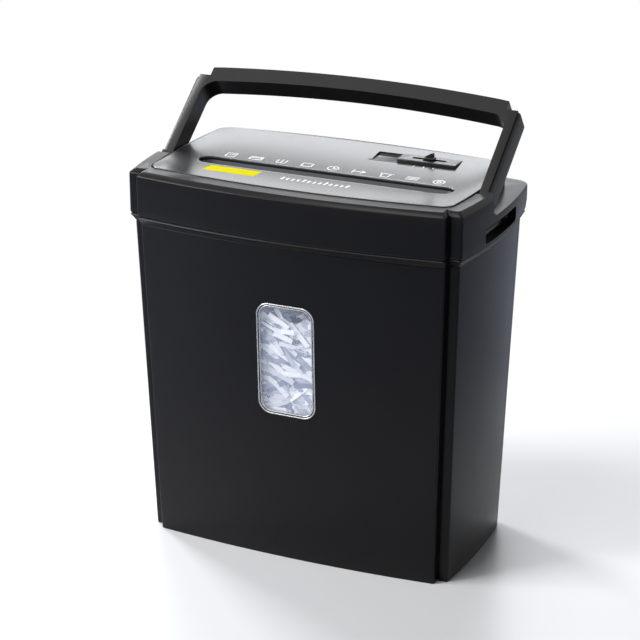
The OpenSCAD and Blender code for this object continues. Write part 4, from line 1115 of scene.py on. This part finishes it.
PICTOGRAMS = (
    sheet_lines(3, 4, ((-1.4, 1), (1.4, 1))),
    sheet_lines(4, 3, ((-4, 1), (4, 1))),
    [((-3, 3), (-3, -3)), ((-3, -3), (3, -3)), ((3, -3), (3, 3)), ((0, 4), (0, -1))],
    sheet_lines(3.4, 3.4),
    [((0, 0), (0, 2.4)), ((0, 0), (1.8, 0))],
    [((-4, 0), (4, 0)), ((4, 0), (1.6, 2.4)), ((4, 0), (1.6, -2.4)), ((-4, -3), (-4, 3))],
    [((-4, 3.4), (4, 3.4)), ((-3.2, 3.4), (-2.2, -4)), ((3.2, 3.4), (2.2, -4)),
     ((-2.2, -4), (2.2, -4))],
    [((-3.6, -2), (3.6, -2)), ((-3.6, 0.6), (3.6, 0.6)), ((-3.6, 3.2), (3.6, 3.2))],
    [])
HOOPS = {4: (5.4,), 8: (5.4, 2.3)}


def make_prints(panel):
    """Blank label, printed ticks, dots and a row of plain line figures."""
    deselect()
    bpy.ops.mesh.primitive_grid_add(x_subdivisions=14, y_subdivisions=8, size=1,
                                    location=(LABEL_X * MM, LABEL_Y * MM, PRINT_LIFT))
    label = bpy.context.object
    label.scale = (LABEL_W * MM, LABEL_H * MM, 1)
    apply_placing()
    lay_on_panel(label, panel, "blank_label", "label_yellow")
    ticks = [(TICK_X + TICK_GAP * k, TICK_Y, TICK_Y + (TICK_SHORT if k % 4 else TICK_LONG), 2.0)
             for k in range(13)]
    ticks += [(KNOB_X + MARK_GAP * k, MARK_LOW, MARK_HIGH, 1.0) for k in (-1, 0, 1)]
    ticks = [bar((x, y0), (x, y1), width) for x, y0, y1, width in ticks]
    lay_on_panel(join(ticks, "ticks"), panel, "printed_ticks", "print_white")
    strokes = []
    for index, figure in enumerate(PICTOGRAMS):
        x, y = FIGURE_X + FIGURE_GAP * index, FIGURE_Y
        for a, b in figure:
            strokes.append(bar(*((x + 1.4 * end[0], y + 1.15 * end[1]) for end in (a, b)), STROKE))
        strokes += [hoop((x, y), radius, STROKE) for radius in HOOPS.get(index, ())]
    lay_on_panel(join(strokes, "figures"), panel, "printed_figures", "print_white")


def dress_frame():
    """Gives every node that keeps its CAD shape the finish of its slot."""
    for node in frame["nodes"].values():
        for index, material in enumerate(node.data.materials):
            node.data.materials[index] = finish_of(material.name)


# ---- stage ----

def facing(where, aim):
    """The turn that makes a lamp or camera look from one point to another."""
    return (Vector(aim) - Vector(where)).to_track_quat("-Z", "Y").to_euler()


def lamp(name, where, aim, width, height, radiance, colour=(1, 1, 1)):
    """A soft rectangular lamp of a given brightness, facing a point."""
    bpy.ops.object.light_add(type="AREA", location=where)
    light = bpy.context.object
    light.name = name
    light.rotation_euler = facing(where, aim)
    light.data.shape, light.data.size, light.data.size_y = "RECTANGLE", width, height
    light.data.energy = radiance * math.pi * width * height
    light.data.color = colour


def seen_directly(finish):
    """1 for rays from the camera, a mirror or a lens; 0 for the light that falls on things."""
    path = [finish.node("ShaderNodeLightPath", output=kind)
            for kind in ("Is Camera Ray", "Is Glossy Ray", "Is Transmission Ray")]
    return finish.math("MAXIMUM", finish.math("MAXIMUM", path[0], path[1]), path[2])


def make_stage():
    """Pale floor, painted darker and bluer away from the middle where reflections see it, soft
    lamps, white surroundings and the camera.
    """
    scene = bpy.context.scene
    deselect()
    bpy.ops.mesh.primitive_plane_add(size=14, location=(0, 0, 0))
    floor = bpy.context.object
    floor.name = "studio_floor"
    with editing(floor):
        bpy.ops.mesh.subdivide(number_cuts=3)
    finish = Finish(bpy.data.materials.new("studio_floor"))
    where = finish.node("ShaderNodeTexCoord", output="Object")
    away = finish.node("ShaderNodeVectorMath", {"operation": "DISTANCE"},
                       {0: where, 1: FLOOR_MIDDLE}, "Value")
    seen = finish.node("ShaderNodeLightPath", output="Is Camera Ray")
    fade = finish.limit(away, FADE_FROM, FADE_TO) * seen
    # Painted shade: away from the middle, the floor seen by reflections (not by the camera) turns
    # dark blue-grey, standing in for the shadow there.
    painted_floor_shade = finish.limit(away, PAINTED_SHADE_FROM, PAINTED_SHADE_TO) * (1 - seen)
    near = finish.node("ShaderNodeBsdfPrincipled", inputs={
        "Base Color": finish.mix(painted_floor_shade, (0.88, 0.89, 0.91, 1), (0.36, 0.39, 0.49, 1)),
        "Roughness": 0.26 + finish.noise(6) * 0.05, "Specular IOR Level": 0.45})
    white = finish.node("ShaderNodeEmission", inputs={"Color": (1, 1, 1, 1), "Strength": 1.0})
    both = finish.node("ShaderNodeMixShader", inputs={0: fade, 1: near, 2: white})
    finish.node("ShaderNodeOutputMaterial", inputs={"Surface": both})
    floor.data.materials.append(finish.owner)

    world = bpy.data.worlds.new("studio")
    scene.world = world
    finish = Finish(world)
    strength = 0.1 + seen_directly(finish) * 0.9
    glow = finish.node("ShaderNodeBackground", inputs={"Color": (1, 1, 1, 1), "Strength": strength})
    finish.node("ShaderNodeOutputWorld", inputs={"Surface": glow})

    aim, cool = (0, 0, 0.3), (0.93, 0.965, 1.0)
    lamp("back_softbox", (-0.69, 1.49, 1.50), aim, 1.3, 0.75, 5.8, cool)
    lamp("low_softbox", (-0.81, 1.73, 0.46), aim, 1.3, 0.7, 1.25, cool)
    lamp("left_key", (-1.9, 1.0, 2.0), aim, 0.6, 0.6, 34.0)
    lamp("front_fill", (-2.0, -1.55, 1.5), aim, 1.5, 1.3, 13.0)
    lamp("top_strip", (-0.35, -0.96, 2.3), aim, 0.9, 0.8, 7.0)

    bpy.ops.object.camera_add(location=CAMERA_AT)
    camera = bpy.context.object
    camera.rotation_euler = facing(CAMERA_AT, CAMERA_AIM)
    camera.data.lens, camera.data.sensor_width = CAMERA_LENS, CAMERA_SENSOR
    scene.camera = camera
    scene.view_settings.view_transform = "Standard"


# ---- operators and panel ----

class SHREDDER_OT_frame(bpy.types.Operator):
    """Gives the machinery inside its finishes"""
    bl_idname = "shredder.frame"
    bl_label = "Machinery finishes"

    def execute(self, context):
        dress_frame()
        return {"FINISHED"}


class SHREDDER_OT_bin(bpy.types.Operator):
    """Models the bin"""
    bl_idname = "shredder.bin"
    bl_label = "Bin"

    def execute(self, context):
        make_bin(context.scene.shredder_sizes)
        return {"FINISHED"}


class SHREDDER_OT_window(bpy.types.Operator):
    """Models the window's rim and lens"""
    bl_idname = "shredder.window"
    bl_label = "Window"

    def execute(self, context):
        make_window()
        return {"FINISHED"}


class SHREDDER_OT_paper(bpy.types.Operator):
    """Models the heap of shreds"""
    bl_idname = "shredder.paper"
    bl_label = "Paper"

    def execute(self, context):
        make_paper(context.scene.shredder_sizes)
        return {"FINISHED"}


class SHREDDER_OT_casings(bpy.types.Operator):
    """Models the head's upper and lower casing"""
    bl_idname = "shredder.casings"
    bl_label = "Casings"

    def execute(self, context):
        make_upper_casing(context.scene.shredder_sizes)
        make_lower_casing()
        return {"FINISHED"}


class SHREDDER_OT_panel(bpy.types.Operator):
    """Models the dished panel, its prints and the throat below its slot"""
    bl_idname = "shredder.panel"
    bl_label = "Panel"

    def execute(self, context):
        make_prints(make_panel())
        make_throat()
        return {"FINISHED"}


class SHREDDER_OT_switch(bpy.types.Operator):
    """Models the switch plate and its knob"""
    bl_idname = "shredder.switch"
    bl_label = "Switch"

    def execute(self, context):
        make_switch(context.scene.shredder_sizes)
        return {"FINISHED"}


class SHREDDER_OT_handle(bpy.types.Operator):
    """Models the carry handle"""
    bl_idname = "shredder.handle"
    bl_label = "Handle"

    def execute(self, context):
        make_handle(context.scene.shredder_sizes)
        return {"FINISHED"}


class SHREDDER_OT_stage(bpy.types.Operator):
    """Sets the floor, the lamps and the camera"""
    bl_idname = "shredder.stage"
    bl_label = "Stage"

    def execute(self, context):
        make_stage()
        return {"FINISHED"}


OPERATORS = (SHREDDER_OT_frame, SHREDDER_OT_bin, SHREDDER_OT_window, SHREDDER_OT_paper,
             SHREDDER_OT_casings, SHREDDER_OT_panel, SHREDDER_OT_switch, SHREDDER_OT_handle,
             SHREDDER_OT_stage)


class SHREDDER_PT_panel(bpy.types.Panel):
    """Lists the shredder's pieces, sizes and colours"""
    bl_idname = "SHREDDER_PT_panel"
    bl_label = "Paper Shredder"
    bl_space_type = "VIEW_3D"
    bl_region_type = "UI"
    bl_category = "Shredder"

    def draw(self, context):
        """Lists the sizes and colours, then the operators."""
        for group in (context.scene.shredder_sizes, context.scene.shredder_looks):
            column = self.layout.column(align=True)
            for name in group.__annotations__:
                column.prop(group, name)
        for operator in OPERATORS:
            self.layout.operator(operator.bl_idname)


CLASSES = (ShredderSizes, ShredderLooks) + OPERATORS + (SHREDDER_PT_panel,)


def register():
    """Makes the shredder's classes known to Blender."""
    for item in CLASSES:
        bpy.utils.register_class(item)
    bpy.types.Scene.shredder_sizes = bpy.props.PointerProperty(type=ShredderSizes)
    bpy.types.Scene.shredder_looks = bpy.props.PointerProperty(type=ShredderLooks)


def unregister():
    """Takes them away again."""
    del bpy.types.Scene.shredder_looks
    del bpy.types.Scene.shredder_sizes
    for item in reversed(CLASSES):
        bpy.utils.unregister_class(item)


def main():
    """Makes everything in order."""
    register()
    for operator in OPERATORS:
        group, name = operator.bl_idname.split(".")
        getattr(getattr(bpy.ops, group), name)()


if __name__ == "__main__":
    main()
